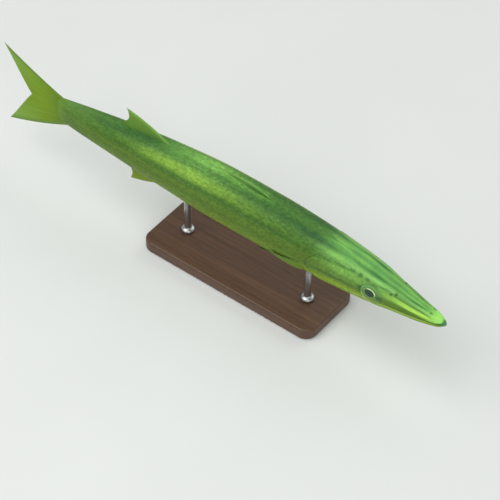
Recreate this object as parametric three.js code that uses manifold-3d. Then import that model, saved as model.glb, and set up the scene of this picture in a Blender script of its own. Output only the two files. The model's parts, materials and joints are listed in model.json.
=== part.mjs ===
// Barracuda: a slender sea fish as a still, life-size display model on a plain stand.
// Millimetres, +Z up. The snout points along +X and the fish's own right side faces -Y.
// The origin is the middle of the underside of the base.
import * as THREE from 'three';
import Module from 'manifold-3d';

const wasm = await Module();
wasm.setup();

// Driving dimensions of the fish
const forkLength = 560;
const bodyEnd = 530;
const bendSagitta = 11;
const axisHeight = 102;
const snoutX = 263;
const gap = 0.3;

// Sections of the body: where each lies behind the snout tip, how far the back and the belly
// reach above and below the axis, half the width, and how square the upper and lower halves are.
const sections = [
  { at: 0, back: 6.0, belly: 4.8, side: 4.6, roof: 2.2, keel: 2.0 },
  { at: 17, back: 9.5, belly: 10.3, side: 8.6, roof: 2.5, keel: 2.1 },
  { at: 39, back: 13.0, belly: 15.7, side: 12.1, roof: 2.7, keel: 2.1 },
  { at: 62, back: 16.9, belly: 20.4, side: 14.9, roof: 2.8, keel: 2.1 },
  { at: 85, back: 20.8, belly: 24.9, side: 18.5, roof: 2.8, keel: 2.1 },
  { at: 120, back: 25.2, belly: 28.9, side: 22.3, roof: 2.5, keel: 2.1 },
  { at: 162, back: 27.9, belly: 31.3, side: 24.8, roof: 2.3, keel: 2.1 },
  { at: 224, back: 30.8, belly: 33.9, side: 27.0, roof: 2.1, keel: 2.1 },
  { at: 291, back: 31.5, belly: 34.4, side: 27.0, roof: 2.1, keel: 2.1 },
  { at: 364, back: 28.6, belly: 30.5, side: 23.7, roof: 2.1, keel: 2.1 },
  { at: 426, back: 24.1, belly: 25.2, side: 18.7, roof: 2.15, keel: 2.15 },
  { at: 482, back: 18.9, belly: 19.1, side: 12.7, roof: 2.3, keel: 2.3 },
  { at: bodyEnd, back: 17.0, belly: 17.0, side: 1.9, roof: 2.5, keel: 2.5 },
];
const noseRound = 9;
const snoutReach = 3;
const snoutReachLength = 45;
const noseLift = 3;
const noseLiftLength = 40;
const underbite = 2.4;
const underbiteLength = 20;
const jawBlend = 1.2;

// Head
const mouth = { tipHeight: 3.4, cornerAt: 67, cornerHeight: -3.2, fall: 1.6 };
const jawSlant = [[69, -7.2], [74, -20.2], [90, -40]];
const lip = { height: 0.8, width: 1.7, endAt: 71, fade: 12 };
const orbit = { at: 85.2, height: 0.2, length: 26.2, tall: 24.8, seat: 8, dome: 3.6, proud: 0.9 };
const orbitChamfer = { width: 0.2, depth: 1.5 };
const orbitRim = { width: 1.5, rise: 0.5, offset: 1.2 };
const nostrils = [
  { at: 57, height: 13.4, radius: 1.1 },
  { at: 62, height: 11.2, radius: 1.5 },
];
const nostrilShape = { length: 1.3, height: 0.9 };
const gillCover = { thickness: 3, top: 14, bottom: -25, endAt: 190, inner: 2 };
const gillFlare = { height: 1.3, from: 112, to: 166, top: 24, fade: 14 };
const gillOpening = [
  [136, 45], [143, 28], [155, 14], [166, 2], [165, -9], [152, -21], [132, -30], [112, -44],
];
const gillCoverFront = [
  [124, 24], [119, 12], [114, 0], [113, -12], [118, -22], [130, -34],
];

// Trunk
const trunkStart = 100;
const trunkJoint = 298;
const tailJoint = 438;

// Fins: every length along the body is measured behind the snout tip
const ridgeHalf = 0.24;
const firstDorsal = {
  start: 233, end: 261, spines: 5, bendRise: [8.1, 1.9], tipAt: [291, 287], tipRise: [3, 0.8],
};
const secondDorsal = { start: 367, end: 427, tipAt: 427, tipHeight: 51.5, rays: 10 };
const analFin = { start: 371, end: 428, tipAt: 425, tipHeight: -52.5, rays: 10 };
const lastRay = { along: 6, out: 5 };
const hollow = { back: 8, height: 0.42 };
const rayBend = { middle: 0.42, front: 6.5, rear: 0.6 };
const caudal = { forkAt: 561, tipAt: 598.5, rays: 9 };
const caudalUpper = { start: 513, tipHeight: 56, bendAlong: [0.42, 0.5], bendHeight: [0.37, 0.5] };
const caudalLower = { start: 506, tipHeight: 57, bendAlong: [0.5, 0.5], bendHeight: [0.6, 0.5] };
const caudalMargin = { tipBack: 13, tipShare: 0.7, forkBack: 11, forkShare: 0.25 };
const tailLag = { from: 520, side: 5.5 };
const pectoral = {
  at: 169, slant: -4, top: 12, bottom: 36, length: 46, shortest: 0.42, round: 1.3,
  tipDown: [9, 7], rays: 10, stand: 1.2,
};
const pelvic = {
  at: 206, slant: 3, top: 60, bottom: 76, length: 34, shortest: 0.55, round: 1,
  tipDown: [-3, 3], rays: 6, stand: 2,
};

// Display stand
const base = { length: 232, width: 84, height: 14, corner: 14, bevel: 2 };
const rod = { radius: 4, collar: 7.5, collarHeight: 5, saddle: 6.5, saddleHeight: 9, rise: 6 };
const collarEdge = 0.6;
const saddleEdge = 0.35;
const rodReach = 83;
const rodPlaces = [snoutX - rodReach, snoutX + rodReach];

// Fineness of the solids
const ringSteps = 40;
const flankPull = 0.22;
const headEnd = 172;
const headStations = 28;
const headEase = 1.25;
const firstStation = 0.12;
const trunkStations = 24;
const jawSteps = 24;
const eyeSteps = 24;
const domeSteps = 4;
const rimSteps = 26;
const tubeSteps = 6;

// How far the cutting prisms reach beyond the fish, upwards and sideways
const clear = { height: 60, width: 40, length: 20 };

const lerp = THREE.MathUtils.lerp;
const radians = THREE.MathUtils.degToRad;
const point = (at, y, z) => new THREE.Vector3(-at, y, z);

// A smooth curve through the sections' values of one measure that never overshoots them:
// cubic pieces whose slopes are the weighted harmonic means of the slopes on both sides.
function measure(key, at) {
  const last = sections.length - 1;
  const step = (i) => sections[i + 1].at - sections[i].at;
  const rise = (i) => (sections[i + 1][key] - sections[i][key]) / step(i);
  const slope = (i) => {
    if (i === 0) return rise(0);
    if (i === last) return rise(last - 1);
    if (rise(i - 1) * rise(i) <= 0) return 0;
    const before = 2 * step(i) + step(i - 1);
    const after = step(i) + 2 * step(i - 1);
    return (before + after) / (before / rise(i - 1) + after / rise(i));
  };
  let i = 0;
  while (i < last - 1 && at > sections[i + 1].at) i += 1;
  const t = THREE.MathUtils.clamp((at - sections[i].at) / step(i), 0, 1);
  const near = (1 + 2 * t) * (1 - t) ** 2 * sections[i][key];
  const far = t * t * (3 - 2 * t) * sections[i + 1][key];
  const turnIn = t * (1 - t) ** 2 * step(i) * slope(i);
  const turnOut = t * t * (t - 1) * step(i) * slope(i + 1);
  return near + far + turnIn + turnOut;
}

// The snout ends as a quarter circle: this is its share of the full section.
function noseShare(at) {
  const share = THREE.MathUtils.clamp(at / noseRound, 0, 1);
  return Math.sqrt(1 - (1 - share) ** 2);
}

const centreHeight = (at) => noseLift * Math.max(1 - at / noseLiftLength, 0) ** 2;
const backHeight = (at) => centreHeight(at) + measure('back', at) * noseShare(at);
const bellyHeight = (at) => centreHeight(at) - measure('belly', at) * noseShare(at);

// The line of the mouth in side view: an even curve from the tip down to the corner.
function mouthHeight(at) {
  const share = THREE.MathUtils.clamp(at / mouth.cornerAt, 0, 1);
  return lerp(mouth.tipHeight, mouth.cornerHeight, 1 - (1 - share) ** mouth.fall);
}

// The snout is drawn out a little: how far each place on it lies in front of its station.
const drawnOut = (at) => snoutReach * Math.max(1 - at / snoutReachLength, 0) ** 2;

// How far the upper jaw's tip lies behind the tip of the lower jaw.
function setBack(at, height) {
  const share = Math.max(1 - at / underbiteLength, 0) ** 2;
  const above = THREE.MathUtils.smoothstep(height - mouthHeight(at), -jawBlend, jawBlend);
  return underbite * share * above;
}

// How far lips stand proud: a rounded ridge on both sides of the mouth, fading at its corner.
function lipSwell(at, height) {
  const across = (height - mouthHeight(at)) / lip.width;
  const along = THREE.MathUtils.smoothstep(lip.endAt - at, 0, lip.fade);
  return lip.height * along * Math.exp(-(across ** 2));
}

// How far the gill covers stand proud: a slope that rises towards the gill opening.
function coverSwell(at, height) {
  const along = THREE.MathUtils.smoothstep(at, gillFlare.from, gillFlare.to);
  const across = THREE.MathUtils.smoothstep(gillFlare.top - height, 0, gillFlare.fade);
  return gillFlare.height * along * across;
}

// A point of the body's surface: a super-ellipse section, moved outwards along its own normal.
// turn 0 is the left flank, 90 degrees the back, 180 the right flank and 270 the belly.
function surface(at, turn, outset = 0, swell = () => 0) {
  const c = Math.cos(turn);
  const s = Math.sin(turn);
  const upper = s >= 0;
  const power = 2 / measure(upper ? 'roof' : 'keel', at);
  const tall = measure(upper ? 'back' : 'belly', at) * noseShare(at);
  const wide = measure('side', at) * noseShare(at);
  const y = wide * Math.sign(c) * Math.abs(c) ** power;
  const z = tall * Math.sign(s) * Math.abs(s) ** power;
  const normal = new THREE.Vector3(0, y / wide ** 2, z / tall ** 2).normalize();
  const height = z + centreHeight(at);
  const place = point(at + setBack(at, height) - drawnOut(at), y, height);
  place.addScaledVector(normal, outset + swell(at, height));
  return { place, normal };
}

// The same surface found by height instead of by angle, on the side that is asked for (1 or -1).
function flank(at, height, side, outset = 0) {
  const z = height - centreHeight(at);
  const upper = z >= 0;
  const tall = measure(upper ? 'back' : 'belly', at) * noseShare(at);
  const turn = Math.asin(THREE.MathUtils.clamp(
    Math.sign(z) * Math.abs(z / tall) ** (measure(upper ? 'roof' : 'keel', at) / 2), -1, 1));
  return surface(at, side > 0 ? turn : Math.PI - turn, outset);
}

// A closed solid from points and triangles, turned so that its faces point outwards.
function closedSolid(points, triangles) {
  const vertProperties = new Float32Array(points.flatMap((p) => [p.x, p.y, p.z]));
  let volume = 0;
  for (const [a, b, c] of triangles) {
    volume += points[a].dot(new THREE.Vector3().crossVectors(points[b], points[c]));
  }
  const facing = volume < 0 ? triangles.map(([a, b, c]) => [a, c, b]) : triangles;
  const triVerts = new Uint32Array(facing.flat());
  return new wasm.Manifold(new wasm.Mesh({ numProp: 3, vertProperties, triVerts }));
}

// A solid through closed rings of equal count, with a fan over each end.
function loft(rings) {
  const count = rings[0].length;
  const points = rings.flat();
  const triangles = [];
  for (let r = 0; r + 1 < rings.length; r += 1) {
    for (let k = 0; k < count; k += 1) {
      const a = r * count + k;
      const b = r * count + ((k + 1) % count);
      triangles.push([a, b, b + count], [a, b + count, a + count]);
    }
  }
  for (const [r, flip] of [[0, true], [rings.length - 1, false]]) {
    const centre = rings[r].reduce((sum, p) => sum.add(p), new THREE.Vector3());
    points.push(centre.divideScalar(count));
    for (let k = 0; k < count; k += 1) {
      const a = r * count + k;
      const b = r * count + ((k + 1) % count);
      triangles.push(flip ? [b, a, points.length - 1] : [a, b, points.length - 1]);
    }
  }
  return closedSolid(points, triangles);
}

// Ring angles that lie closer together on the flanks, where the mouth and the gills are.
const ringTurns = Array.from({ length: ringSteps }, (_, k) => {
  const even = (2 * Math.PI * k) / ringSteps;
  return even - flankPull * Math.sin(2 * even);
});

// Stations from the snout to the end of the body, closer together at the tip and on the head.
const stations = [
  ...Array.from({ length: headStations },
    (_, k) => firstStation + headEnd * (k / headStations) ** headEase),
  ...Array.from({ length: trunkStations + 1 },
    (_, k) => lerp(headEnd, bodyEnd, k / trunkStations)),
];

function bodyForm({ from = 0, to = bodyEnd, outset = 0, swell = () => 0 }) {
  const chosen = stations.filter((at) => at >= from && at <= to);
  return loft(chosen.map((at) => ringTurns.map((turn) => surface(at, turn, outset, swell).place)));
}

// A prism whose outline is drawn in side view, as distance behind the snout and height.
function sidePrism(outline, yFrom, yTo) {
  const shape = new THREE.Shape(outline.map(([at, z]) => new THREE.Vector2(-at, z)));
  const geometry = new THREE.ExtrudeGeometry(shape, { depth: yTo - yFrom, bevelEnabled: false });
  geometry.rotateX(Math.PI / 2).translate(0, yTo, 0);
  return solidOf(geometry);
}

// Any closed three.js geometry as a solid, with its doubled vertices merged.
function solidOf(geometry) {
  const source = geometry.index ? geometry.toNonIndexed() : geometry;
  const position = source.getAttribute('position');
  const seen = new Map();
  const points = [];
  const corners = [];
  for (let i = 0; i < position.count; i += 1) {
    const p = new THREE.Vector3().fromBufferAttribute(position, i);
    const key = [p.x, p.y, p.z].map((v) => Math.round(v * 1e4)).join();
    if (!seen.has(key)) {
      seen.set(key, points.length);
      points.push(p);
    }
    corners.push(seen.get(key));
  }
  const triangles = [];
  for (let i = 0; i < corners.length; i += 3) {
    const [a, b, c] = corners.slice(i, i + 3);
    if (a !== b && b !== c && c !== a) triangles.push([a, b, c]);
  }
  return closedSolid(points, triangles);
}

// The points of a smooth curve in side view, at even steps.
function sideCurve(controls, steps = 28) {
  const curve = new THREE.SplineCurve(controls.map(([at, z]) => new THREE.Vector2(at, z)));
  return curve.getSpacedPoints(steps).map((p) => [p.x, p.y]);
}

const shifted = (outline, along, up = 0) => outline.map(([at, z]) => [at + along, z + up]);

// Everything in front of the gill openings, and everything behind them by one gap.
const { height: clearHeight, width: clearWidth, length: clearLength } = clear;
const regionAcross = (outline) => sidePrism(outline, -clearWidth, clearWidth);
const gillCurve = sideCurve(gillOpening);
const headRegion = regionAcross(
  [[-clearLength, clearHeight], ...gillCurve, [-clearLength, -clearHeight]]);
const tailSide = bodyEnd + clearLength;
const trunkRegion = regionAcross(
  [[tailSide, clearHeight], ...shifted(gillCurve, gap), [tailSide, -clearHeight]]);

const slab = (from, to) => regionAcross(
  [[from, clearHeight], [to, clearHeight], [to, -clearHeight], [from, -clearHeight]]);

const largest = (solid) => solid.decompose().reduce((a, b) => (a.volume() > b.volume() ? a : b));

const headSwell = (at, height) => lipSwell(at, height) + coverSwell(at, height);
const headForm = bodyForm({ to: headEnd + 14, swell: headSwell }).intersect(headRegion);
const trunkForm = bodyForm({}).intersect(trunkRegion);

// The lower jaw: all below the line of the mouth and in front of a slant under the eye.
function jawRegion(clearance) {
  const line = [];
  for (let k = 0; k <= jawSteps; k += 1) {
    const at = (mouth.cornerAt * k) / jawSteps;
    line.push([at - drawnOut(at), mouthHeight(at) + clearance]);
  }
  return regionAcross([
    [-clearLength, mouth.tipHeight + clearance],
    ...line,
    ...shifted(jawSlant, clearance),
    [-clearLength, jawSlant.at(-1)[1]],
  ]);
}

// A gill cover: the outer skin of the head behind the cheek, down to its own thickness.
function coverRegion(side, clearance) {
  const front = shifted(sideCurve(gillCoverFront, 14), -clearance);
  const upper = gillCover.top + clearance;
  const lower = gillCover.bottom - clearance;
  const edge = front.filter(([, z]) => z < upper && z > lower);
  const { endAt, inner } = gillCover;
  const outline = [
    [edge[0][0], upper], ...edge, [edge.at(-1)[0], lower], [endAt, lower], [endAt, upper],
  ];
  const [yFrom, yTo] = side > 0 ? [inner, clearWidth] : [-clearWidth, -inner];
  return sidePrism(outline, yFrom, yTo);
}
const coreInside = (depth) => bodyForm(
  { from: trunkStart, to: gillCover.endAt, outset: -depth, swell: headSwell });

// A short oval drum in the orbit, from its seat in the head out to a flat or domed front. Its
// axis is square to the head, which widens towards the gills.
function orbitDrum(side, clearance, dome, reach) {
  const { width: cut, depth: cutDepth } = orbitChamfer;
  const profile = [[0, -clearance], [1 - cut, -clearance], [1, cutDepth], [1, reach]];
  for (let k = 1; k <= domeSteps; k += 1) {
    const radius = 1 - k / domeSteps;
    profile.push([radius, reach + dome * (1 - radius ** 2)]);
  }
  const geometry = new THREE.LatheGeometry(
    profile.map(([radius, depth]) => new THREE.Vector2(radius, depth)), eyeSteps);
  geometry.scale(orbit.length / 2 + clearance, 1, orbit.tall / 2 + clearance);
  if (side < 0) geometry.rotateX(Math.PI);
  const width = (at) => flank(at, orbit.height, 1).place.y;
  const half = orbit.length / 2;
  const widening = (width(orbit.at + half) - width(orbit.at - half)) / orbit.length;
  geometry.translate(0, side * (orbit.proud - orbit.dome - orbit.seat), 0);
  geometry.rotateZ(-side * Math.atan(widening));
  geometry.translate(-orbit.at, side * width(orbit.at), orbit.height);
  return solidOf(geometry);
}
const eyeball = (side) => orbitDrum(side, 0, orbit.dome, orbit.seat);
const socket = (side) => orbitDrum(side, gap, 0, orbit.seat + orbit.dome * 3);

// The raised rim of the orbit: a slim oval tube whose middle follows the head's surface.
function orbitRimSolid(side) {
  const rings = [];
  for (let k = 0; k < rimSteps; k += 1) {
    const turn = (2 * Math.PI * k) / rimSteps;
    const at = orbit.at + (orbit.length / 2 + orbitRim.offset) * Math.cos(turn);
    const height = orbit.height + (orbit.tall / 2 + orbitRim.offset) * Math.sin(turn);
    const { place } = flank(at, height, side, orbitRim.rise - orbitRim.width);
    const outward = point(Math.cos(turn), 0, 0).setZ(Math.sin(turn));
    rings.push(Array.from({ length: tubeSteps }, (_, j) => {
      const angle = (2 * Math.PI * j) / tubeSteps;
      return place.clone()
        .addScaledVector(outward, orbitRim.width * Math.cos(angle))
        .add(new THREE.Vector3(0, side * orbitRim.width * Math.sin(angle), 0));
    }));
  }
  const points = rings.flat();
  const triangles = [];
  for (let k = 0; k < rimSteps; k += 1) {
    for (let j = 0; j < tubeSteps; j += 1) {
      const next = (k + 1) % rimSteps;
      const up = (j + 1) % tubeSteps;
      const [a, b] = [k * tubeSteps + j, k * tubeSteps + up];
      const [c, d] = [next * tubeSteps + up, next * tubeSteps + j];
      triangles.push([a, b, c], [a, c, d]);
    }
  }
  return closedSolid(points, triangles);
}

// A nostril: a small pit, half sunk in the surface.
function nostrilPit({ at, height, radius }, side) {
  const geometry = new THREE.SphereGeometry(radius, 10, 6);
  geometry.scale(nostrilShape.length, 1, nostrilShape.height);
  const { place } = flank(at, height, side);
  geometry.translate(place.x, place.y, place.z);
  return solidOf(geometry);
}

// A fin of rays: each ray is a curve from root to tip, the membrane spans them, and the rays
// stand out as ridges on both faces. Both faces are split into triangles alike.
function rayFin({ rays, rows, root, bend, tip, normal, membrane, ray }) {
  const spacing = 1 / (rays - 1);
  const columns = [];
  for (let i = 0; i < rays; i += 1) {
    for (const aside of [-ridgeHalf, 0, ridgeHalf]) {
      const share = (i + aside) * spacing;
      if (share >= 0 && share <= 1) columns.push({ share, onRay: aside === 0 });
    }
  }
  const front = [];
  const rear = [];
  for (const { share, onRay } of columns) {
    const curve = new THREE.QuadraticBezierCurve3(root(share), bend(share), tip(share));
    for (let r = 0; r <= rows; r += 1) {
      const out = r / rows;
      const middle = curve.getPoint(out);
      const [near, far] = onRay ? ray : membrane;
      const half = lerp(near, far, out) / 2;
      const across = normal(share, out);
      front.push(middle.clone().addScaledVector(across, half));
      rear.push(middle.clone().addScaledVector(across, -half));
    }
  }
  const stride = rows + 1;
  const offset = front.length;
  const triangles = [];
  for (let i = 0; i + 1 < columns.length; i += 1) {
    for (let r = 0; r < rows; r += 1) {
      const [a, b] = [i * stride + r, i * stride + r + 1];
      const [c, d] = [b + stride, a + stride];
      triangles.push([a, b, c], [a, c, d]);
      triangles.push([a + offset, c + offset, b + offset], [a + offset, d + offset, c + offset]);
    }
  }
  const rim = [];
  for (let i = 0; i < columns.length; i += 1) rim.push(i * stride);
  for (let r = 1; r <= rows; r += 1) rim.push((columns.length - 1) * stride + r);
  for (let i = columns.length - 2; i >= 0; i -= 1) rim.push(i * stride + rows);
  for (let r = rows - 1; r >= 1; r -= 1) rim.push(r);
  rim.forEach((a, k) => {
    const b = rim[(k + 1) % rim.length];
    triangles.push([a, b, b + offset], [a, b + offset, a + offset]);
  });
  return closedSolid([...front, ...rear], triangles);
}

const sideways = () => new THREE.Vector3(0, 1, 0);

// The first dorsal fin lies folded back: the first spine arches over the others.
function firstDorsalFin() {
  const { start, end, spines, bendRise, tipAt, tipRise } = firstDorsal;
  const rootAt = (share) => lerp(start, end, share);
  return rayFin({
    rays: spines,
    rows: 8,
    root: (share) => point(rootAt(share), 0, backHeight(rootAt(share)) + gap),
    bend: (share) => {
      const at = lerp(rootAt(share), tipAt[0], 0.3);
      return point(at, 0, backHeight(at) + lerp(...bendRise, share));
    },
    tip: (share) => {
      const at = lerp(...tipAt, share);
      return point(at, 0, backHeight(at) + lerp(...tipRise, share));
    },
    normal: sideways,
    membrane: [1.4, 0.8],
    ray: [2.6, 1.2],
  });
}

// The second dorsal and the anal fin are alike: long front rays laid back into one point,
// and a hollow rear margin that runs down to the short last ray.
function medianFin({ start, end, tipAt, tipHeight, rays }, edge) {
  const up = Math.sign(tipHeight);
  const rootAt = (share) => lerp(start, end, share);
  const rootPoint = (share) => point(rootAt(share), 0, edge(rootAt(share)) + up * gap);
  const margin = new THREE.QuadraticBezierCurve3(
    point(tipAt, 0, tipHeight),
    point(tipAt - hollow.back, 0, lerp(edge(tipAt), tipHeight, hollow.height)),
    point(end + lastRay.along, 0, edge(end) + up * lastRay.out),
  );
  return rayFin({
    rays,
    rows: 7,
    root: rootPoint,
    bend: (share) => {
      const middle = rootPoint(share).lerp(margin.getPoint(share), rayBend.middle);
      middle.z += up * lerp(rayBend.front, rayBend.rear, share);
      return middle;
    },
    tip: (share) => margin.getPoint(share),
    normal: sideways,
    membrane: [1.0, 0.5],
    ray: [2.2, 0.8],
  });
}

// One lobe of the tail fin, from the long leading ray to the short ray at the fork. Its tip
// lags behind the stroke of the tail, towards the fish's left.
function caudalLobe(up, { start, tipHeight, bendAlong, bendHeight }) {
  const { forkAt, tipAt, rays } = caudal;
  const { from, side } = tailLag;
  const lagged = (at) => side * (Math.max(at - from, 0) / (tipAt - from)) ** 2;
  const finPoint = (at, z) => point(at, lagged(at), up * z);
  const face = bodyEnd + gap;
  const shoulder = 2 / (rays - 1);
  const root = (share) => {
    if (share < shoulder) {
      const at = lerp(start, face, share / shoulder);
      return finPoint(at, measure('back', at) + gap);
    }
    const down = (share - shoulder) / (1 - shoulder);
    return finPoint(face, lerp(measure('back', face) + gap, gap / 2, down));
  };
  const { tipBack, tipShare, forkBack, forkShare } = caudalMargin;
  const margin = new THREE.CubicBezierCurve(
    new THREE.Vector2(tipAt, tipHeight),
    new THREE.Vector2(tipAt - tipBack, tipHeight * tipShare),
    new THREE.Vector2(forkAt + forkBack, tipHeight * forkShare),
    new THREE.Vector2(forkAt, gap / 2),
  );
  const tip = (share) => {
    const end = margin.getPoint(share);
    return finPoint(end.x, end.y);
  };
  return rayFin({
    rays,
    rows: 8,
    root,
    bend: (share) => {
      const near = root(share);
      const far = tip(share);
      const at = lerp(-near.x, -far.x, lerp(...bendAlong, share));
      const z = lerp(up * near.z, up * far.z, lerp(...bendHeight, share));
      return finPoint(at, z);
    },
    tip,
    normal: sideways,
    membrane: [2.4, 0.6],
    ray: [3.6, 0.9],
  });
}

// A paired fin folded flat along the body. Angles are measured down from the flank's middle
// line, and its outer end stands a little clear of the skin.
function pairedFin(side, shape, membrane, ray) {
  const { slant, top, bottom, length, shortest, round, tipDown, rays, stand } = shape;
  const root = (share) => ({
    at: shape.at + slant * share,
    below: lerp(top, bottom, share),
  });
  const tip = (share) => ({
    at: shape.at + length * lerp(1, shortest, share ** round),
    below: lerp(top + tipDown[0], bottom + tipDown[1], share),
  });
  const along = (share, out) => lerp(root(share).at, tip(share).at, out);
  const below = (share, out) => lerp(root(share).below, tip(share).below, out);
  const onBody = (share, out, lift) => {
    const down = radians(below(share, out));
    const turn = side > 0 ? -down : Math.PI + down;
    return surface(along(share, out), turn, lift);
  };
  const height = (out) => gap + ray[0] / 2 + stand * out ** 2;
  return rayFin({
    rays,
    rows: 6,
    root: (share) => onBody(share, 0, height(0)).place,
    bend: (share) => {
      const half = onBody(share, 0.5, height(0.5)).place.multiplyScalar(2);
      const ends = onBody(share, 0, height(0)).place.add(onBody(share, 1, height(1)).place);
      return half.addScaledVector(ends, -0.5);
    },
    tip: (share) => onBody(share, 1, height(1)).place,
    normal: (share, out) => onBody(share, out, 0).normal,
    membrane,
    ray,
  });
}

const pectoralFin = (side) => pairedFin(side, pectoral, [1.2, 0.5], [2.0, 0.8]);
const pelvicFin = (side) => pairedFin(side, pelvic, [1.2, 0.5], [2.2, 0.8]);

// The fish's axis is a gentle arc: its middle lies to the left, the head and tail to the right,
// and it crosses the middle of the base above the two rods.
const arcRadius = forkLength ** 2 / (8 * bendSagitta);
function bent(p) {
  const along = -p.x - forkLength / 2;
  const slope = along / arcRadius;
  const across = 1 / Math.hypot(1, slope);
  const side = (rodReach ** 2 - along ** 2) / (2 * arcRadius) + p.y * across;
  return new THREE.Vector3(snoutX + p.x + slope * across * p.y, side, axisHeight + p.z);
}

// A mesh from a solid; its vertices go through place, which puts the fish in its pose.
function meshOf(name, solid, material, place = (p) => p) {
  const data = largest(solid).getMesh();
  const placed = new Float32Array(data.numVert * 3);
  for (let i = 0; i < data.numVert; i += 1) {
    const p = new THREE.Vector3().fromArray(data.vertProperties, i * data.numProp);
    place(p).toArray(placed, i * 3);
  }
  const geometry = new THREE.BufferGeometry();
  geometry.setAttribute('position', new THREE.BufferAttribute(placed, 3));
  geometry.setIndex(new THREE.BufferAttribute(data.triVerts, 1));
  geometry.computeVertexNormals();
  const mesh = new THREE.Mesh(geometry, material);
  mesh.name = name;
  return mesh;
}

// The base: a rounded plate with a small bevel round its top and bottom edges.
function standBase() {
  const [halfLength, halfWidth] = [base.length / 2 - base.bevel, base.width / 2 - base.bevel];
  const shape = new THREE.Shape();
  const r = base.corner;
  shape.moveTo(-halfLength + r, -halfWidth);
  shape.lineTo(halfLength - r, -halfWidth);
  shape.absarc(halfLength - r, -halfWidth + r, r, -Math.PI / 2, 0, false);
  shape.lineTo(halfLength, halfWidth - r);
  shape.absarc(halfLength - r, halfWidth - r, r, 0, Math.PI / 2, false);
  shape.lineTo(-halfLength + r, halfWidth);
  shape.absarc(-halfLength + r, halfWidth - r, r, Math.PI / 2, Math.PI, false);
  shape.lineTo(-halfLength, -halfWidth + r);
  shape.absarc(-halfLength + r, -halfWidth + r, r, Math.PI, 1.5 * Math.PI, false);
  const geometry = new THREE.ExtrudeGeometry(shape, {
    depth: base.height - 2 * base.bevel,
    bevelSize: base.bevel,
    bevelThickness: base.bevel,
    bevelSegments: 1,
    curveSegments: 5,
  });
  geometry.translate(0, 0, base.bevel);
  return solidOf(geometry);
}

// A rod with a collar on the base and a saddle under the belly, cut to the belly's shape.
function standRod(at, clearBody) {
  const top = axisHeight + bellyHeight(at);
  const foot = base.height + gap;
  const profile = [
    [0, foot],
    [rod.collar, foot],
    [rod.collar, foot + rod.collarHeight * collarEdge],
    [rod.radius, foot + rod.collarHeight],
    [rod.radius, top - rod.saddleHeight],
    [rod.saddle, top - rod.saddleHeight * saddleEdge],
    [rod.saddle, top + rod.rise],
    [0, top + rod.rise],
  ].map(([radius, z]) => new THREE.Vector2(radius, z));
  const geometry = new THREE.LatheGeometry(profile, 20);
  geometry.rotateX(Math.PI / 2);
  const { x, y } = bent(point(at, 0, 0));
  geometry.translate(x, y, 0);
  return solidOf(geometry).subtract(clearBody);
}

// Materials
const finish = (color, roughness, metalness = 0) =>
  new THREE.MeshStandardMaterial({ color, roughness, metalness });
const skin = finish(0x4f8a4c, 0.45);
const jawSkin = finish(0x96a83c, 0.45);
const coverSkin = finish(0x6fae62, 0.4);
const finSkin = finish(0x7d9a2f, 0.5);
const eyeGlass = finish(0x2c5a4a, 0.1);
const wood = finish(0x3b2a1f, 0.5);
const steel = finish(0xb9bcbe, 0.3, 1);

const fish = new THREE.Group();
const add = (name, solid, material) => fish.add(meshOf(name, solid, material, bent));

let head = headForm.add(orbitRimSolid(1)).add(orbitRimSolid(-1)).subtract(jawRegion(gap));
for (const side of [1, -1]) {
  const bed = coverRegion(side, gap).subtract(coreInside(gillCover.thickness + gap));
  head = head.subtract(bed);
  for (const nostril of nostrils) head = head.subtract(nostrilPit(nostril, side));
  head = head.subtract(socket(side));
}
add('head', head, skin);
add('lower_jaw', headForm.intersect(jawRegion(0)), jawSkin);
for (const [word, side] of [['left', 1], ['right', -1]]) {
  const cover = headForm.intersect(coverRegion(side, 0)).subtract(coreInside(gillCover.thickness));
  add(`gill_cover_${word}`, cover, coverSkin);
  add(`eye_${word}`, eyeball(side), eyeGlass);
  add(`pectoral_fin_${word}`, pectoralFin(side), finSkin);
  add(`pelvic_fin_${word}`, pelvicFin(side), finSkin);
}
add('trunk_front', trunkForm.intersect(slab(trunkStart, trunkJoint)), skin);
add('trunk_rear', trunkForm.intersect(slab(trunkJoint + gap, tailJoint)), skin);
add('tail_stem', trunkForm.intersect(slab(tailJoint + gap, tailSide)), skin);
add('first_dorsal_fin', firstDorsalFin(), finSkin);
add('second_dorsal_fin', medianFin(secondDorsal, backHeight), finSkin);
add('anal_fin', medianFin(analFin, bellyHeight), finSkin);
add('caudal_fin_upper', caudalLobe(1, caudalUpper), finSkin);
add('caudal_fin_lower', caudalLobe(-1, caudalLower), finSkin);

// The stand
const clearRings = stations.map((at) =>
  ringTurns.map((turn) => bent(surface(at, turn, gap).place)));
const clearBody = loft(clearRings);
const stand = new THREE.Group();
stand.add(meshOf('stand_base', standBase(), wood));
['stand_rod_front', 'stand_rod_rear'].forEach((name, i) => {
  stand.add(meshOf(name, standRod(rodPlaces[i], clearBody), steel));
});

const barracuda = new THREE.Group();
barracuda.add(fish, stand);

export default barracuda;
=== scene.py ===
"""A slender barracuda as a life-size display model: skin, scales, fins, eyes and stand.

Shapes are worked out in millimetres in the fish's own straight frame and then laid along the
arc of its axis. `at` is the distance behind the snout tip, `turn` the angle round the body:
0 on the left flank, a quarter turn on the back, half a turn on the right flank. `flank` is the
angle above the flank's middle line in degrees, alike on both sides. `s` numbers the rings. It
equals `at` but near the gill opening, where the rings lean.
"""
import json
import math
import bpy
import numpy as np
from mathutils import Matrix, Vector

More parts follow.
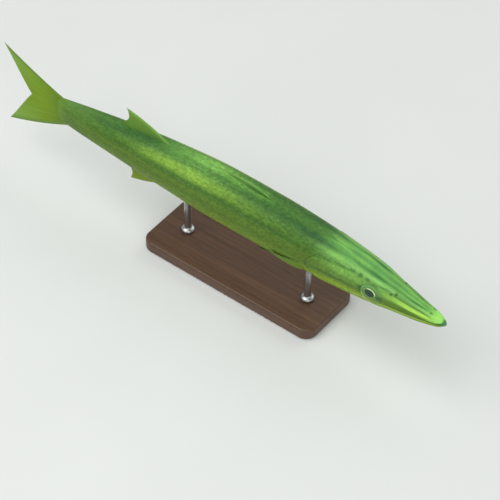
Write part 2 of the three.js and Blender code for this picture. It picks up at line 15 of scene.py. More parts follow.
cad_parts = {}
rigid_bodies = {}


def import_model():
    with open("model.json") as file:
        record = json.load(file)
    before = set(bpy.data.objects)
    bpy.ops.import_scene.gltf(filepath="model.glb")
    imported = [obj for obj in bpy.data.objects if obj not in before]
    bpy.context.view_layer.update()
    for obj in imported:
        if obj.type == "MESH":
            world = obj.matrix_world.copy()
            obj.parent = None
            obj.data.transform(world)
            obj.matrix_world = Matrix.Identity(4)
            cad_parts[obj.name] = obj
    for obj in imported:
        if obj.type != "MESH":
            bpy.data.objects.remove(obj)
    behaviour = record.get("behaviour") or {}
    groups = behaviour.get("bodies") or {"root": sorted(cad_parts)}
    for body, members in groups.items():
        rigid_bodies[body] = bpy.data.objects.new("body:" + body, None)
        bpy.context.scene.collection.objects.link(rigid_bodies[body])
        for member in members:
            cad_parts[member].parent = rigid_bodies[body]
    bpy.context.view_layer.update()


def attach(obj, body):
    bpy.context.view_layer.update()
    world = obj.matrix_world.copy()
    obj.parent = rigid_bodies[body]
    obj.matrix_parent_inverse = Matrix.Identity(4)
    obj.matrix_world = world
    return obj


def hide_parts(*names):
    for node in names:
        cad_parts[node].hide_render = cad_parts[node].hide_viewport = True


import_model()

MM = 0.001
QUARTER = math.pi / 2
HALF = math.pi
FULL = 2 * math.pi

# The fish's own sizes, the same as in the solids
FORK_LENGTH = 560.0
BODY_END = 530.0
BEND_SAGITTA = 11.0
AXIS_HEIGHT = 102.0
SNOUT_X = 263.0
ROD_REACH = 83.0
GAP = 0.3
NOSE_ROUND = 9.0
SNOUT_REACH, SNOUT_REACH_LENGTH = 3.0, 45.0
NOSE_LIFT, NOSE_LIFT_LENGTH = 3.0, 40.0
UNDERBITE, UNDERBITE_LENGTH, JAW_BLEND = 2.4, 20.0, 1.2

# at, reach of the back and the belly, half width, squareness of the upper and lower halves
SECTIONS = np.array([
    (0, 6.0, 4.8, 4.6, 2.2, 2.0), (17, 9.5, 10.3, 8.6, 2.5, 2.1),
    (39, 13.0, 15.7, 12.1, 2.7, 2.1), (62, 16.9, 20.4, 14.9, 2.8, 2.1),
    (85, 20.8, 24.9, 18.5, 2.8, 2.1), (120, 25.2, 28.9, 22.3, 2.5, 2.1),
    (162, 27.9, 31.3, 24.8, 2.3, 2.1), (224, 30.8, 33.9, 27.0, 2.1, 2.1),
    (291, 31.5, 34.4, 27.0, 2.1, 2.1), (364, 28.6, 30.5, 23.7, 2.1, 2.1),
    (426, 24.1, 25.2, 18.7, 2.15, 2.15), (482, 18.9, 19.1, 12.7, 2.3, 2.3),
    (530, 17.0, 17.0, 1.9, 2.5, 2.5)])
BACK, BELLY, SIDE, ROOF, KEEL = 1, 2, 3, 4, 5

MOUTH_TIP, MOUTH_CORNER_AT, MOUTH_CORNER, MOUTH_FALL = 3.4, 67.0, -3.2, 1.6
LIP_HEIGHT, LIP_WIDTH = 0.8, 1.7
ORBIT_AT, ORBIT_HEIGHT, ORBIT_LENGTH, ORBIT_TALL = 85.2, 0.2, 26.2, 24.8
EYE_DOME, EYE_PROUD = 1.7, 0.8
# Each nostril's at, height and radius, and how much longer than tall they are
NOSTRILS, NOSTRIL_LENGTH = [(57.0, 13.4, 1.1), (62.0, 11.2, 1.5)], 1.3
GILL_FLARE = 1.3
GILL_S, GILL_LEAN = 165.0, 70
# Height and at of the gill opening and of the cheek's rear edge, at and height of the upper jaw's
GILL_OPENING = np.array([(-44, 112), (-30, 132), (-21, 152), (-9, 165), (2, 166), (14, 155),
                         (28, 143), (45, 136)], float)
COVER_FRONT = np.array([(-34, 130), (-22, 118), (-12, 113), (0, 114), (12, 119), (24, 124)], float)
PREMAXILLA = np.array([(12, 5.2), (17, 6.1), (24, 7.7), (34, 9.6), (44, 11.3), (55, 12.9),
                       (66, 12.2)], float)
COAT_DEPTH = 0.42
TAIL_THIN_FROM, TAIL_THIN = 512, 0.1

# Display stand
BASE_LENGTH, BASE_WIDTH, BASE_HEIGHT, BASE_CORNER, BASE_BEVEL = 232.0, 84.0, 14.0, 14.0, 2.4
ROD_RADIUS, COLLAR_RADIUS, COLLAR_HEIGHT, SADDLE_RADIUS, SADDLE_HEIGHT = 4.0, 7.5, 5.0, 6.5, 9.0


# Helpers of form

def through(table, x, column=1):
    """Cubic pieces through a table's points, each slope the weighted harmonic mean of both sides."""
    xs, ys = table[:, 0], table[:, column]
    step = np.diff(xs)
    rise = np.diff(ys) / step
    slope = np.empty(len(xs))
    slope[0], slope[-1] = rise[0], rise[-1]
    before, after = 2 * step[1:] + step[:-1], step[1:] + 2 * step[:-1]
    alike = rise[:-1] * rise[1:] > 0
    low, high = np.where(alike, rise[:-1], 1.0), np.where(alike, rise[1:], 1.0)
    slope[1:-1] = np.where(alike, (before + after) / (before / low + after / high), 0)
    k = np.clip(np.searchsorted(xs, x, side="right") - 1, 0, len(xs) - 2)
    t = np.clip((x - xs[k]) / step[k], 0, 1)
    return ((1 + 2 * t) * (1 - t) ** 2 * ys[k] + t * t * (3 - 2 * t) * ys[k + 1]
            + t * (1 - t) ** 2 * step[k] * slope[k] + t * t * (t - 1) * step[k] * slope[k + 1])


def ease(x, start, end):
    """A soft step from 0 at start to 1 at end, whichever of them is larger."""
    t = np.clip((x - start) / (end - start), 0, 1)
    return t * t * (3 - 2 * t)


def between(x, start, full, last, end):
    """A soft step up from start to full, times one down from last to end."""
    return ease(x, start, full) * ease(x, end, last)


def bump(x, middle, width):
    """A bell of height 1 round middle."""
    return np.exp(-((x - middle) / width) ** 2)


def bells(lines):
    """Sum of bells across lines. Each line has its height, the distance from it, the bell's
    half width and the share that is left of it."""
    return sum(size * bump(away, 0, width) * share for size, away, width, share in lines)


def mix(a, b, share):
    """From a to b by share."""
    return a + (b - a) * share


def curve(t, *points):
    """A Bezier curve from the first point to the last, drawn towards those between."""
    last = len(points) - 1
    return sum(math.comb(last, k) * (1 - t) ** (last - k) * t ** k * point
               for k, point in enumerate(points))


def measure(column, at):
    """One of the sections' measures."""
    return through(SECTIONS, at, column)


def snout_fade(at, length):
    """1 at the snout's tip, falling as a square to 0 at length."""
    return np.maximum(1 - at / length, 0) ** 2


def nose_share(at):
    """A quarter circle over the first millimetres of the snout."""
    return np.sqrt(1 - (1 - np.clip(at / NOSE_ROUND, 0, 1)) ** 2)


def centre_height(at):
    """Height of the sections' middles: the snout is lifted a little."""
    return NOSE_LIFT * snout_fade(at, NOSE_LIFT_LENGTH)


def back_height(at):
    """Height of the back's middle line."""
    return centre_height(at) + measure(BACK, at) * nose_share(at)


def belly_height(at):
    """Height of the belly's middle line."""
    return centre_height(at) - measure(BELLY, at) * nose_share(at)


def mouth_height(at):
    """The mouth's line: it falls from the tip to the corner, ever more slowly."""
    share = np.clip(at / MOUTH_CORNER_AT, 0, 1)
    return mix(MOUTH_TIP, MOUTH_CORNER, 1 - (1 - share) ** MOUTH_FALL)


def section(at, turn):
    """A super-ellipse: half width and reach times the cosine and sine, each to a power. Gives
    both and the way out."""
    c, s = np.cos(turn), np.sin(turn)
    upper = s >= 0
    power = 2 / np.where(upper, measure(ROOF, at), measure(KEEL, at))
    tall = np.where(upper, measure(BACK, at), measure(BELLY, at)) * nose_share(at)
    wide = measure(SIDE, at) * nose_share(at)
    y = wide * np.sign(c) * np.abs(c) ** power
    z = tall * np.sign(s) * np.abs(s) ** power
    out = np.stack([y / wide ** 2, z / tall ** 2], -1)
    out /= np.linalg.norm(out, axis=-1, keepdims=True)
    return y, z, out


def gill_shift(s, turn):
    """How far a ring near the gill opening leans, so that one ring follows the opening's edge:
    the opening's distance from that ring, fading as a squared cosine to both sides."""
    edge = np.full_like(turn, GILL_S)
    for _ in range(2):
        edge = through(GILL_OPENING, section(edge, turn)[1])
    fade = np.cos(QUARTER * np.clip((s - GILL_S) / GILL_LEAN, -1, 1)) ** 2
    return (edge - GILL_S) * fade


def bent(points):
    """Lays the straight fish along its arc and lifts it to its height over the base."""
    radius = FORK_LENGTH ** 2 / (8 * BEND_SAGITTA)
    along = -points[..., 0] - FORK_LENGTH / 2
    slope = along / radius
    across = 1 / np.hypot(1, slope)
    side = (ROD_REACH ** 2 - along ** 2) / (2 * radius) + points[..., 1] * across
    return np.stack([SNOUT_X + points[..., 0] + slope * across * points[..., 1], side,
                     AXIS_HEIGHT + points[..., 2]], -1)


# Relief of the head and body, in millimetres outwards

def orbit_distance(at, height):
    """1 on the orbit's oval, less inside."""
    return np.hypot((at - ORBIT_AT) / (ORBIT_LENGTH / 2), (height - ORBIT_HEIGHT) / (ORBIT_TALL / 2))


def nostril_distances(at, height):
    """The distance from the middle of each nostril, in its radii."""
    return [np.hypot((at - middle) / NOSTRIL_LENGTH, height - up) / radius
            for middle, up, radius in NOSTRILS]


def grooves(at, turn, height):
    """Depth of the fine furrows, as bells across them: the mouth, the rear and the upper edge of
    the upper jaw, the cheek's rear edge and the throat's edge."""
    below = np.abs(np.degrees(turn) % 360 - 270)
    jaw_rear = 69 - (height + 7) * 0.42
    return bells((
        (1.5, height - mouth_height(at), 0.30, ease(at, 69, 66)),
        (0.3, at - jaw_rear, 0.7, between(height, -23, -18, -5, -3)),
        (0.5, height - through(PREMAXILLA, at), 0.6, between(at, 12, 18, 58, 66)),
        (0.22, at - through(COVER_FRONT, height), 0.9, between(height, -30, -24, 14, 20)),
        (0.5, below - 17, 2.6, between(at, 10, 22, 108, 128))))


def relief(s, at, turn, y, height):
    """All that stands proud of, or is sunk in, the smooth body: bells along the lips, the orbit's
    rims, the brow, the fins' feet and the nostrils, and soft steps for the gill cover, the cleft
    behind it, the eye's socket and the end of the body."""
    orbit = orbit_distance(at, height)
    lines = [
        (LIP_HEIGHT, height - mouth_height(at), LIP_WIDTH, ease(at, 71, 59)),
        (0.24, orbit - 1.09, 0.07, 1), (0.14, orbit - 1.24, 0.03, ease(height, -6, 4)),
        (0.35, height - 14.5, 1.6, between(at, 62, 72, 98, 112)),
        (-0.7, y, 1.7, (height > 0) * between(at, 228, 236, 292, 300)),
        (0.5, y, 2.6, between(at, 366, 374, 426, 436))]
    for away in nostril_distances(at, height):
        lines += [(-1.0, away, 0.75, 1), (0.22, away - 1.35, 0.3, 1)]
    cover = GILL_FLARE * ease(at, 112, 166) * ease(height, 24, 10) * (s <= GILL_S)
    behind = np.maximum(s - GILL_S, 0)
    cleft = 0.9 * np.exp(-behind / 5) * (s > GILL_S) * ease(height, 22, 12)
    socket = 3.4 * ease(orbit, 1.02, 0.93)
    top = np.degrees(turn) % 360 - 90
    ridges = 0.16 * np.cos(np.radians(top * 15)) * ease(np.abs(top), 60, 46)
    ridges = ridges * between(at, 5, 16, 62, 84)
    taper = 1.6 * ease(at, 518, 530)
    return bells(lines) + cover - cleft - socket + ridges - taper - grooves(at, turn, height)


def flesh(s, turn, lift=0.0):
    """A point of the skin: the section at its ring, pushed along its normal by the relief and
    by lift, less the depth that the coat of scales needs. Gives the point, at and height."""
    s, turn, lift = (np.array(a, float) for a in np.broadcast_arrays(s, turn, lift))
    at = s + gill_shift(s, turn)
    y, z, out = section(at, turn)
    height = z + centre_height(at)
    back = UNDERBITE * snout_fade(at, UNDERBITE_LENGTH)
    back = back * ease(height - mouth_height(at), -JAW_BLEND, JAW_BLEND)
    back = back - SNOUT_REACH * snout_fade(at, SNOUT_REACH_LENGTH)
    push = (lift - COAT_DEPTH + relief(s, at, turn, y, height)) * ease(at, 0, 3)
    thin = mix(1.0, TAIL_THIN, ease(at, TAIL_THIN_FROM, BODY_END))
    point = np.stack([-at - back, (y + out[..., 0] * push) * thin, height + out[..., 1] * push], -1)
    return bent(point), at, height


# Markings, as masks that the materials turn into colours. Some are the fish's own marks, some painted
# highlights, a painted reflection and painted shade

# at and height of the edge between the throat and the side of the head
THROAT_EDGE = np.array([(0, 2.2), (15, 0.6), (49, -5.7), (93, -9.0), (126, -9.5), (172, -10.5)], float)

# Soft ovals: at, flank, half length, half height in degrees and strength
# Dark marks, with painted shade among them: the thin line along the side of the head above the throat (at
# 132) and the broad oval on the lower rear flank (at 430)
DARK_AND_SHADE_MARKS = [(100.5, 42, 2.8, 8.5, 0.65), (110, 42, 4.6, 5.6, 0.48), (124, 37, 9, 3.6, 0.48),
              (144, 33, 13, 4, 0.4), (91.5, 41, 3.2, 7, 0.55), (82, 35, 5, 8, 0.35),
              (73, 43, 4, 2.6, 0.5), (67.5, 47, 4, 2.6, 0.5), (62.8, 36, 1.4, 9, 0.45),
              (57.6, 49, 1.4, 10, 0.5), (76, -1, 3, 8, 0.9), (98.5, 5, 3.4, 6, 0.75),
              (96.5, 24, 1.6, 8, 0.35), (85, 73, 13, 6, 0.6), (34, 71, 9, 5, 0.5),
              (52, 43, 5, 3.4, 0.25), (43, 45, 3, 3, 0.15), (105, 70, 9, 4, 0.3), (61, 73, 7, 4, 0.3),
              (170, 69, 18, 9, 0.45), (132, -2, 30, 3, 0.45), (165, -9, 4.6, 2, 0.9),
              (176, -10, 8, 2, 0.45), (16.5, 68, 1.7, 9, 0.65), (146, 68, 14, 5, 0.35),
              (430, -26, 90, 16, 0.24)]
# Pale patches, those of the head partly painted highlights; the last one is painted light that lifts the
# shadow beside the first dorsal fin
PALE_AND_LIT_MARKS = [(131, 54, 13, 6.5, 0.9), (124, 47, 8, 3.6, 0.5), (96, 47, 3, 6, 0.55),
              (104, 58, 8, 5.5, 0.5), (76, 51, 7, 5, 0.5), (104, 82, 9, 6, 0.55),
              (134, 87, 13, 2.6, 0.75), (126, 25, 8, 4, 0.55), (112, 19, 14, 5, 0.3),
              (74, 33, 3.4, 5, 0.5), (66, 14, 3.4, 7, 0.5), (54, 56, 3.4, 6, 0.5), (26, 60, 7, 5, 0.6),
              (97, 33, 3, 4, 0.35), (60.2, 31, 1.6, 5, 0.45), (36, 84, 20, 4.5, 0.6),
              (44, 50, 20, 5, 0.35), (260, 83, 28, 7, 0.38)]

# at and strength of the bright band over the rear flank, partly the fish's own colour and partly a
# painted reflection of the light from above, and its half height in degrees
BAND_REFLECTION_STRENGTH = np.array([(180, 0), (210, 0.06), (250, 0.17), (270, 0.31), (290, 0.48), (330, 0.74),
                          (355, 0.7), (375, 0.58), (392, 0.34), (412, 0.1), (440, 0)], float)
BAND_HALF_HEIGHT = 13.5


def ovals(rows, at, flank):
    """Sum of soft ovals: each a bell of the squared distance from its middle to the power 1.5."""
    total = np.zeros(at.shape)
    for middle_at, middle_flank, long, tall, strength in rows:
        away = ((at - middle_at) / long) ** 2 + ((flank - middle_flank) / tall) ** 2
        total += strength * np.exp(-away ** 1.5)
    return np.clip(total, 0, 1)


def markings(s, turn, at, height):
    """Masks from 0 to 1 over the fish: its own marks, and painted highlights, a painted reflection and
    painted shade. Each is a product of soft steps and bells. `over` runs from 0 on the right flank over
    the back, for what the left side doesn't share."""
    flank = np.degrees(np.arcsin(np.clip(np.sin(turn), -1, 1)))
    over = 180 - np.degrees(turn % FULL)
    from_mouth = height - mouth_height(at)
    band_middle = mix(47, 44, ease(at, 340, 400))
    gleam = through(BAND_REFLECTION_STRENGTH, at)
    gleam = gleam * np.exp(-(np.abs(flank - band_middle) / BAND_HALF_HEIGHT) ** 3)
    # Painted highlights: on the upper trunk on both sides, along the crown of the back a little to its
    # left, and along the left upper edge of the snout
    crown_highlight = (0.36 * bump(at, 330, 55) * bump(flank, 72, 36)
             + 0.60 * bump(at, 310, 38) * between(over, 78, 87, 104, 118)
             + 0.60 * bump(over, 103, 6) * between(at, 10, 22, 68, 92))
    # The pale band of the upper lip is partly its own colour and partly a painted highlight
    lip_and_highlight = between(flank, 6, 15, 27, 36) * between(at, 11, 20, 34, 78)
    # Painted shade along the groove on the side of the snout
    groove_shade = between(flank, 33, 39, 39, 49) * between(at, 15, 20, 52, 64)
    edge = through(THROAT_EDGE, at)
    throat = ease(edge - height, -1.2, 1.2) * ease(at, 186, 156)
    bright_edge = bump(height, edge - 1.6, 1.2) * between(at, 8, 20, 100, 160)
    # Painted shade: the dark band along the mouth, in the recess under the upper jaw
    width = mix(0.5, 3.4, ease(at, 4, 36))
    mouth_shade = bump(from_mouth, 0.1 - 0.35 * width, width) * ease(at, 80, 66) * (1 - throat)
    dark_tip = 0.8 * bump(from_mouth, 0.4, 0.9) * ease(at, 9, 4) + 0.8 * ease(at, 3.4, 0)
    dark_tip = np.clip(dark_tip, 0, 1)
    tip = ease(at, 26, 4) * ease(from_mouth, 0, 2) * (1 - dark_tip)
    # Painted shade in the furrows, in the nostrils and in the cleft behind the gill cover
    nostril_shade = sum(bump(away, 0, 1) for away in nostril_distances(at, height))
    cleft = 0.30 * bump(s, GILL_S + 1.2, 1.4) * between(height, -30, -18, 10, 18)
    furrow_shade = np.clip(grooves(at, turn, height) / 1.1, 0, 1) + 0.45 * nostril_shade + cleft
    lateral = bump(flank, 23.5, 0.9) * between(at, 176, 200, 440, 500) * mix(0.45, 1.0, bump(at, 285, 70))
    shade = bump(flank, 27, 5) * between(at, 172, 200, 360, 420)
    # Painted shadow of the second dorsal fin on the right side of the back
    fin_shade = bump(at, 398, 22) * bump(flank, 84, 9) * (np.cos(turn) < 0)
    # The dark mask holds the dark marks with their painted shade, the darker line along the flank and the
    # fin's painted shadow
    dark = np.clip(1.15 * ovals(DARK_AND_SHADE_MARKS, at, flank) + 0.2 * shade + 0.6 * fin_shade, 0, 0.92)
    pale = np.clip(crown_highlight + np.clip(ovals(PALE_AND_LIT_MARKS, at, flank) + 0.20 * lateral, 0, 1), 0, 1)
    # Each field holds three values, and the third of the last is free
    return {
        "place": np.stack([at / 10, turn * 6, height / 10], -1),
        "tone": np.stack([(flank + 90) / 180, ease(at, 172, 122), ease(at, 430, 528)], -1),
        "pale": np.stack([gleam, pale, lip_and_highlight], -1),
        "shade_and_marks": np.stack([np.maximum(mouth_shade, 0.45 * groove_shade), dark, np.clip(furrow_shade, 0, 1)], -1),
        "warm": np.stack([throat, bright_edge, tip], -1),
        "deep": np.stack([dark_tip, ease(at, 500, 527), np.zeros(at.shape)], -1),
    }


# Meshes

def add_object(name, data):
    """A mesh, light or camera, put into the scene."""
    thing = bpy.data.objects.new(name, data)
    bpy.context.scene.collection.objects.link(thing)
    return thing


def add_piece(name, points, quads, material, replaced=(), tris=None, fields=None, uvs=None):
    """A mesh from arrays: points in mm, faces of four and of three corners, fields per point and
    UV maps per point. It rides on the root and takes the place of the named nodes."""
    tris = np.zeros((0, 3), int) if tris is None else tris
    corners = np.concatenate([quads.ravel(), tris.ravel()]).astype(np.int32)
    sizes = np.concatenate([np.full(len(quads), 4), np.full(len(tris), 3)])
    starts = np.concatenate([[0], np.cumsum(sizes)[:-1]]).astype(np.int32)
    mesh = bpy.data.meshes.new(name)
    mesh.vertices.add(len(points))
    mesh.vertices.foreach_set("co", (points * MM).astype(np.float32).ravel())
    mesh.loops.add(len(corners))
    mesh.loops.foreach_set("vertex_index", corners)
    mesh.polygons.add(len(sizes))
    mesh.polygons.foreach_set("loop_start", starts)
    mesh.polygons.foreach_set("use_smooth", np.ones(len(sizes), bool))
    mesh.update(calc_edges=True)
    for key, values in (fields or {}).items():
        layer = mesh.attributes.new(key, "FLOAT_VECTOR", "POINT")
        layer.data.foreach_set("vector", values.astype(np.float32).ravel())
    for key, values in (uvs or {}).items():
        layer = mesh.uv_layers.new(name=key)
        layer.data.foreach_set("uv", values.reshape(-1, 2)[corners].astype(np.float32).ravel())
    piece = add_object(name, mesh)
    mesh.materials.append(material)
    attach(piece, "root")
    if replaced:
        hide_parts(*replaced)


def grid_quads(rows, columns, closed=False, flip=False):
    """Faces of a grid of rows by columns points; closed joins the last column to the first."""
    r, c = np.meshgrid(np.arange(rows - 1), np.arange(columns if closed else columns - 1),
                       indexing="ij")
    right = (c + 1) % columns
    quads = np.stack([r * columns + c, r * columns + right, (r + 1) * columns + right,
                      (r + 1) * columns + c], -1).reshape(-1, 4)
    return quads[:, ::-1] if flip else quads


def add_tube(name, points, columns, material, replaced, flip=False, fields=None):
    """A closed form: rings of points one after another, then the middle points of its first and
    its last end, to which fans join the first and the last ring."""
    count = len(points) - 2
    here = np.arange(columns)
    right = (here + 1) % columns
    start = count - columns
    tris = np.concatenate([np.stack([right, here, np.full(columns, count)], -1),
                           np.stack([start + here, start + right, np.full(columns, count + 1)], -1)])
    tris = tris[:, ::-1] if flip else tris
    quads = grid_quads(count // columns, columns, True, flip)
    add_piece(name, points, quads, material, replaced, tris, fields)


# Materials

def colour(tone):
    """A colour given as red, green and blue on a screen, turned to what the shader wants."""
    share = np.array(tone) / 255
    linear = np.where(share <= 0.04045, share / 12.92, ((share + 0.055) / 1.055) ** 2.4)
    return (*linear.tolist(), 1.0)


class Finish:
    """A material whose nodes are added one by one and joined as they are made."""

    def __init__(self, name, **shader_values):
        self.material = bpy.data.materials.new(name)
        self.material.use_nodes = True
        self.tree = self.material.node_tree
        self.shader = self.tree.nodes["Principled BSDF"]
        for key, value in shader_values.items():
            self.shader.inputs[key.replace("_", " ")].default_value = value

    def add(self, kind, inputs=(), output=0, **settings):
        """A node with its settings; each input is fed by another node or has a fixed value."""
        node = self.tree.nodes.new("ShaderNode" + kind)
        for key, value in settings.items():
            setattr(node, key, value)
        for key, value in dict(inputs).items():
            socket = node.inputs[key]
            if isinstance(value, bpy.types.NodeSocket):
                self.tree.links.new(value, socket)
            else:
                socket.default_value = colour(value) if socket.type == "RGBA" else value
        return node.outputs[output]

    def objects(self):
        """The place on the piece, in metres."""
        return self.add("TexCoord", output="Object")

    def vector(self, name):
        """A field of the mesh."""
        return self.add("Attribute", output="Vector", attribute_name=name)

    def field(self, name):
        """A field of the mesh, split into its three values."""
        return self.add("SeparateXYZ", {0: self.vector(name)}).node.outputs[:]

    def math(self, kind, a, b=0.0, clamp=False):
        """A math node on two values."""
        return self.add("Math", {0: a, 1: b}, operation=kind, use_clamp=clamp)

    def scaled(self, value, by, plus=0.0):
        """A value times another, plus a third."""
        return self.add("Math", {0: value, 1: by, 2: plus}, operation="MULTIPLY_ADD")

    def times(self, first, *others, clamp=False):
        """The product of all values."""
        for other in others:
            first = self.math("MULTIPLY", first, other, clamp)
        return first

    def wave(self, value, rate):
        """A sine of the value times rate."""
        return self.math("SINE", self.times(value, rate))

    def step(self, value, start, end, kind="SMOOTHSTEP"):
        """A step from 0 at start to 1 at end, soft or straight."""
        return self.add("MapRange", {0: value, 1: start, 2: end}, interpolation_type=kind)

    def noise(self, vector, grains, detail=2.0, rough=0.5):
        """Cloudy noise, with so many grains to a unit along each axis."""
        place = self.add("Mapping", {"Vector": vector, "Scale": grains})
        return self.add("TexNoise", {"Vector": place, "Scale": 1.0, "Detail": detail,
                                     "Roughness": rough}, output="Fac")

    def ramp(self, share, stops, kind="LINEAR"):
        """Colours at given shares, joined by straight or by soft steps."""
        node = self.add("ValToRGB", {0: share}).node
        node.color_ramp.interpolation = kind
        elements = node.color_ramp.elements
        elements.remove(elements[-1])
        elements[0].position, elements[0].color = stops[0][0], colour(stops[0][1])
        for position, tone in stops[1:]:
            elements.new(position).color = colour(tone)
        return node.outputs[0]

    def blend(self, share, a, b, kind="MIX"):
        """Colour a towards colour b by share."""
        return self.add("Mix", {0: share, 6: a, 7: b}, 2, data_type="RGBA", blend_type=kind)

    def lay(self, base, layers):
        """Lays each colour over the base by its mask, in their order."""
        for mask, tone in layers:
            base = self.blend(mask, base, tone)
        return base

    def shaded(self, base, shade):
        """The base made darker or lighter by a factor."""
        return self.blend(1.0, base, self.add("CombineColor", {0: shade, 1: shade, 2: shade}),
                          "MULTIPLY")

    def finish(self, base, height, strength, distance, roughness=None):
        """Joins colour, bump and roughness to the shader, and gives the material."""
        normal = self.add("Bump", {"Height": height, "Strength": strength, "Distance": distance},
                          output="Normal")
        for key, value in (("Base Color", base), ("Normal", normal), ("Roughness", roughness)):
            if value is not None:
                self.tree.links.new(value, self.shader.inputs[key])
        return self.material


# Tones round the body: flank and colour
TRUNK_TONES = [(-90, (158, 172, 98)), (-50, (138, 160, 72)), (-28, (122, 150, 54)),
               (-12, (104, 134, 46)), (1, (88, 120, 42)), (12, (94, 124, 46)), (26, (76, 112, 42)),
               (38, (80, 120, 48)), (52, (78, 120, 52)), (68, (62, 105, 46)), (90, (76, 121, 54))]
HEAD_TONES = [(-90, (150, 172, 80)), (-40, (138, 164, 58)), (-14, (126, 154, 50)),
              (-2, (92, 126, 48)), (8, (104, 146, 64)), (20, (122, 170, 78)), (31, (118, 168, 76)),
              (40, (108, 158, 76)), (46, (124, 176, 94)), (55, (136, 193, 106)),
              (63, (114, 172, 88)), (71, (94, 152, 76)), (84, (112, 174, 90)), (90, (92, 150, 78))]
TAIL_TONES = [(-90, (96, 122, 50)), (-10, (90, 124, 50)), (20, (92, 127, 50)),
              (58, (100, 136, 58)), (85, (98, 136, 64))]
# The bright band's colour is partly a painted reflection, the pale patches' and the lip's colours partly
# painted highlights; the mouth band's and the furrows' colours are painted shade, and the dark marks'
# colour serves both dark marks and painted shade
BRIGHT_BAND_AND_REFLECTION, PALE_PATCH_AND_HIGHLIGHT, LIP_AND_HIGHLIGHT = (150, 188, 66), (132, 190, 88), (180, 234, 94)
MOUTH_SHADE, DARK_MARK_AND_SHADE, FURROW_SHADE = (96, 130, 46), (50, 94, 58), (46, 76, 40)
THROAT, THROAT_LINE, SNOUT_TIP = (132, 164, 48), (160, 196, 74), (162, 232, 108)
DARK_TIP, TAIL_ROOT = (74, 138, 92), (112, 146, 44)


def fish_colours(finish):
    """The colour of skin and scales: a ramp round the body for head, trunk and tail, then the pale, dark
    and warm masks over it, which hold painted highlights, a painted reflection and painted shade besides
    the fish's own marks, and streaks that run along the body."""
    place = finish.vector("place")
    band, head, tail = finish.field("tone")
    gleam, pale, lip_and_highlight = finish.field("pale")
    mouth, dark, furrow_shade = finish.field("shade_and_marks")
    throat, edge, tip = finish.field("warm")
    dark_tip, tail_root, _ = finish.field("deep")
    wander = finish.scaled(finish.noise(place, (0.25, 0.5, 1.0), 3.0), 0.03, -0.015)
    band = finish.math("ADD", band, wander, clamp=True)
    trunk_tone, head_tone, tail_tone = (
        finish.ramp(band, [((flank + 90) / 180, tone) for flank, tone in tones], "EASE")
        for tones in (TRUNK_TONES, HEAD_TONES, TAIL_TONES))
    mottle = finish.noise(place, (2.24, 2.24, 1.4), 4.0, 0.62)
    broken = finish.scaled(mottle, 1.3, 0.30)
    # Laid in turn: the bright band, partly a painted reflection; pale patches with painted highlights on
    # the crown; the lip, partly a painted highlight; painted shade along the mouth, the snout's groove
    # and the furrows; dark marks with painted shade
    base = finish.lay(trunk_tone, (
        (head, head_tone), (tail, tail_tone), (finish.times(gleam, broken, clamp=True), BRIGHT_BAND_AND_REFLECTION),
        (finish.times(pale, broken, clamp=True), PALE_PATCH_AND_HIGHLIGHT), (tip, SNOUT_TIP), (throat, THROAT),
        (mouth, MOUTH_SHADE), (edge, THROAT_LINE), (lip_and_highlight, LIP_AND_HIGHLIGHT), (dark, DARK_MARK_AND_SHADE),
        (finish.times(furrow_shade, 0.7), FURROW_SHADE), (dark_tip, DARK_TIP), (tail_root, TAIL_ROOT)))
    coarse = finish.scaled(finish.noise(place, (0.3, 1.1, 0.0)), 0.7, -0.5)
    streak = finish.scaled(finish.noise(place, (0.6, 3.6, 0.0)), 0.3, coarse)
    swing = finish.scaled(head, 0.28, 0.44)
    shade = finish.scaled(streak, swing, finish.scaled(mottle, 0.60, 0.70))
    return finish.shaded(base, shade), place, mottle


def make_skin():
    """Satin skin with fine pores."""
    finish = Finish("skin_satin", Roughness=0.5, Specular_IOR_Level=0.10)
    base, place, mottle = fish_colours(finish)
    fine = finish.noise(finish.objects(), (900.0, 900.0, 900.0), 3.0)
    height = finish.scaled(fine, 0.4, finish.noise(place, (6.0, 9.0, 1.0)))
    return finish.finish(base, height, 0.25, 0.0002, finish.scaled(mottle, 0.16, 0.42))


def make_scale():
    """Satin scales, each of its own shade and darker at its rim, with fine rings and spokes."""
    finish = Finish("scale_satin", Roughness=0.45, Specular_IOR_Level=0.13)
    base, _, mottle = fish_colours(finish)
    own, out, across = finish.field("plate")
    shade = finish.scaled(finish.math("POWER", out, 6.0), -0.22, finish.scaled(own, 0.34, 0.87))
    height = finish.scaled(finish.wave(across, 26.0), 0.5, finish.wave(out, 40.0))
    return finish.finish(finish.shaded(base, shade), height, 0.12, 0.00005,
                         finish.scaled(mottle, 0.16, 0.38))


def make_fin(name, deep, pale, edge, lead, tip, foot):
    """Fin membrane: rays paler than the skin between them, a darker margin, a leading edge, a far
    corner and a foot of their own tones, and small joints in the rays."""
    finish = Finish(name, Roughness=0.5, Specular_IOR_Level=0.15, Subsurface_Weight=0.15,
                    Subsurface_Scale=0.002)
    lie = finish.vector("lie")
    share, out, ridge = finish.field("lie")
    cloud = finish.noise(lie, (4.4, 6.0, 0.0), 3.0)
    streak = finish.noise(lie, (34.0, 0.8, 0.0), 3.0, 0.6)
    base = finish.lay(finish.blend(ridge, deep, pale), (
        (finish.times(cloud, 0.5), deep), (finish.step(out, 0.4, 0.0), foot)))
    base = finish.shaded(base, finish.scaled(streak, 0.80, 0.61))
    far = finish.times(finish.step(out, 0.35, 0.9, "LINEAR"), finish.step(share, 0.75, 0.1, "LINEAR"))
    base = finish.lay(base, (
        (finish.times(finish.math("POWER", out, 9.0), 0.4), edge), (far, tip),
        (finish.times(finish.step(share, 0.22, 0.0), 0.9), lead)))
    joints = finish.times(finish.wave(out, 170.0), ridge)
    return finish.finish(base, finish.scaled(joints, 0.4, streak), 0.3, 0.00015)


# The pupil's place on the eye, as shares of its half length and half height
PUPIL_AT, PUPIL_UP = 0.10, 0.15


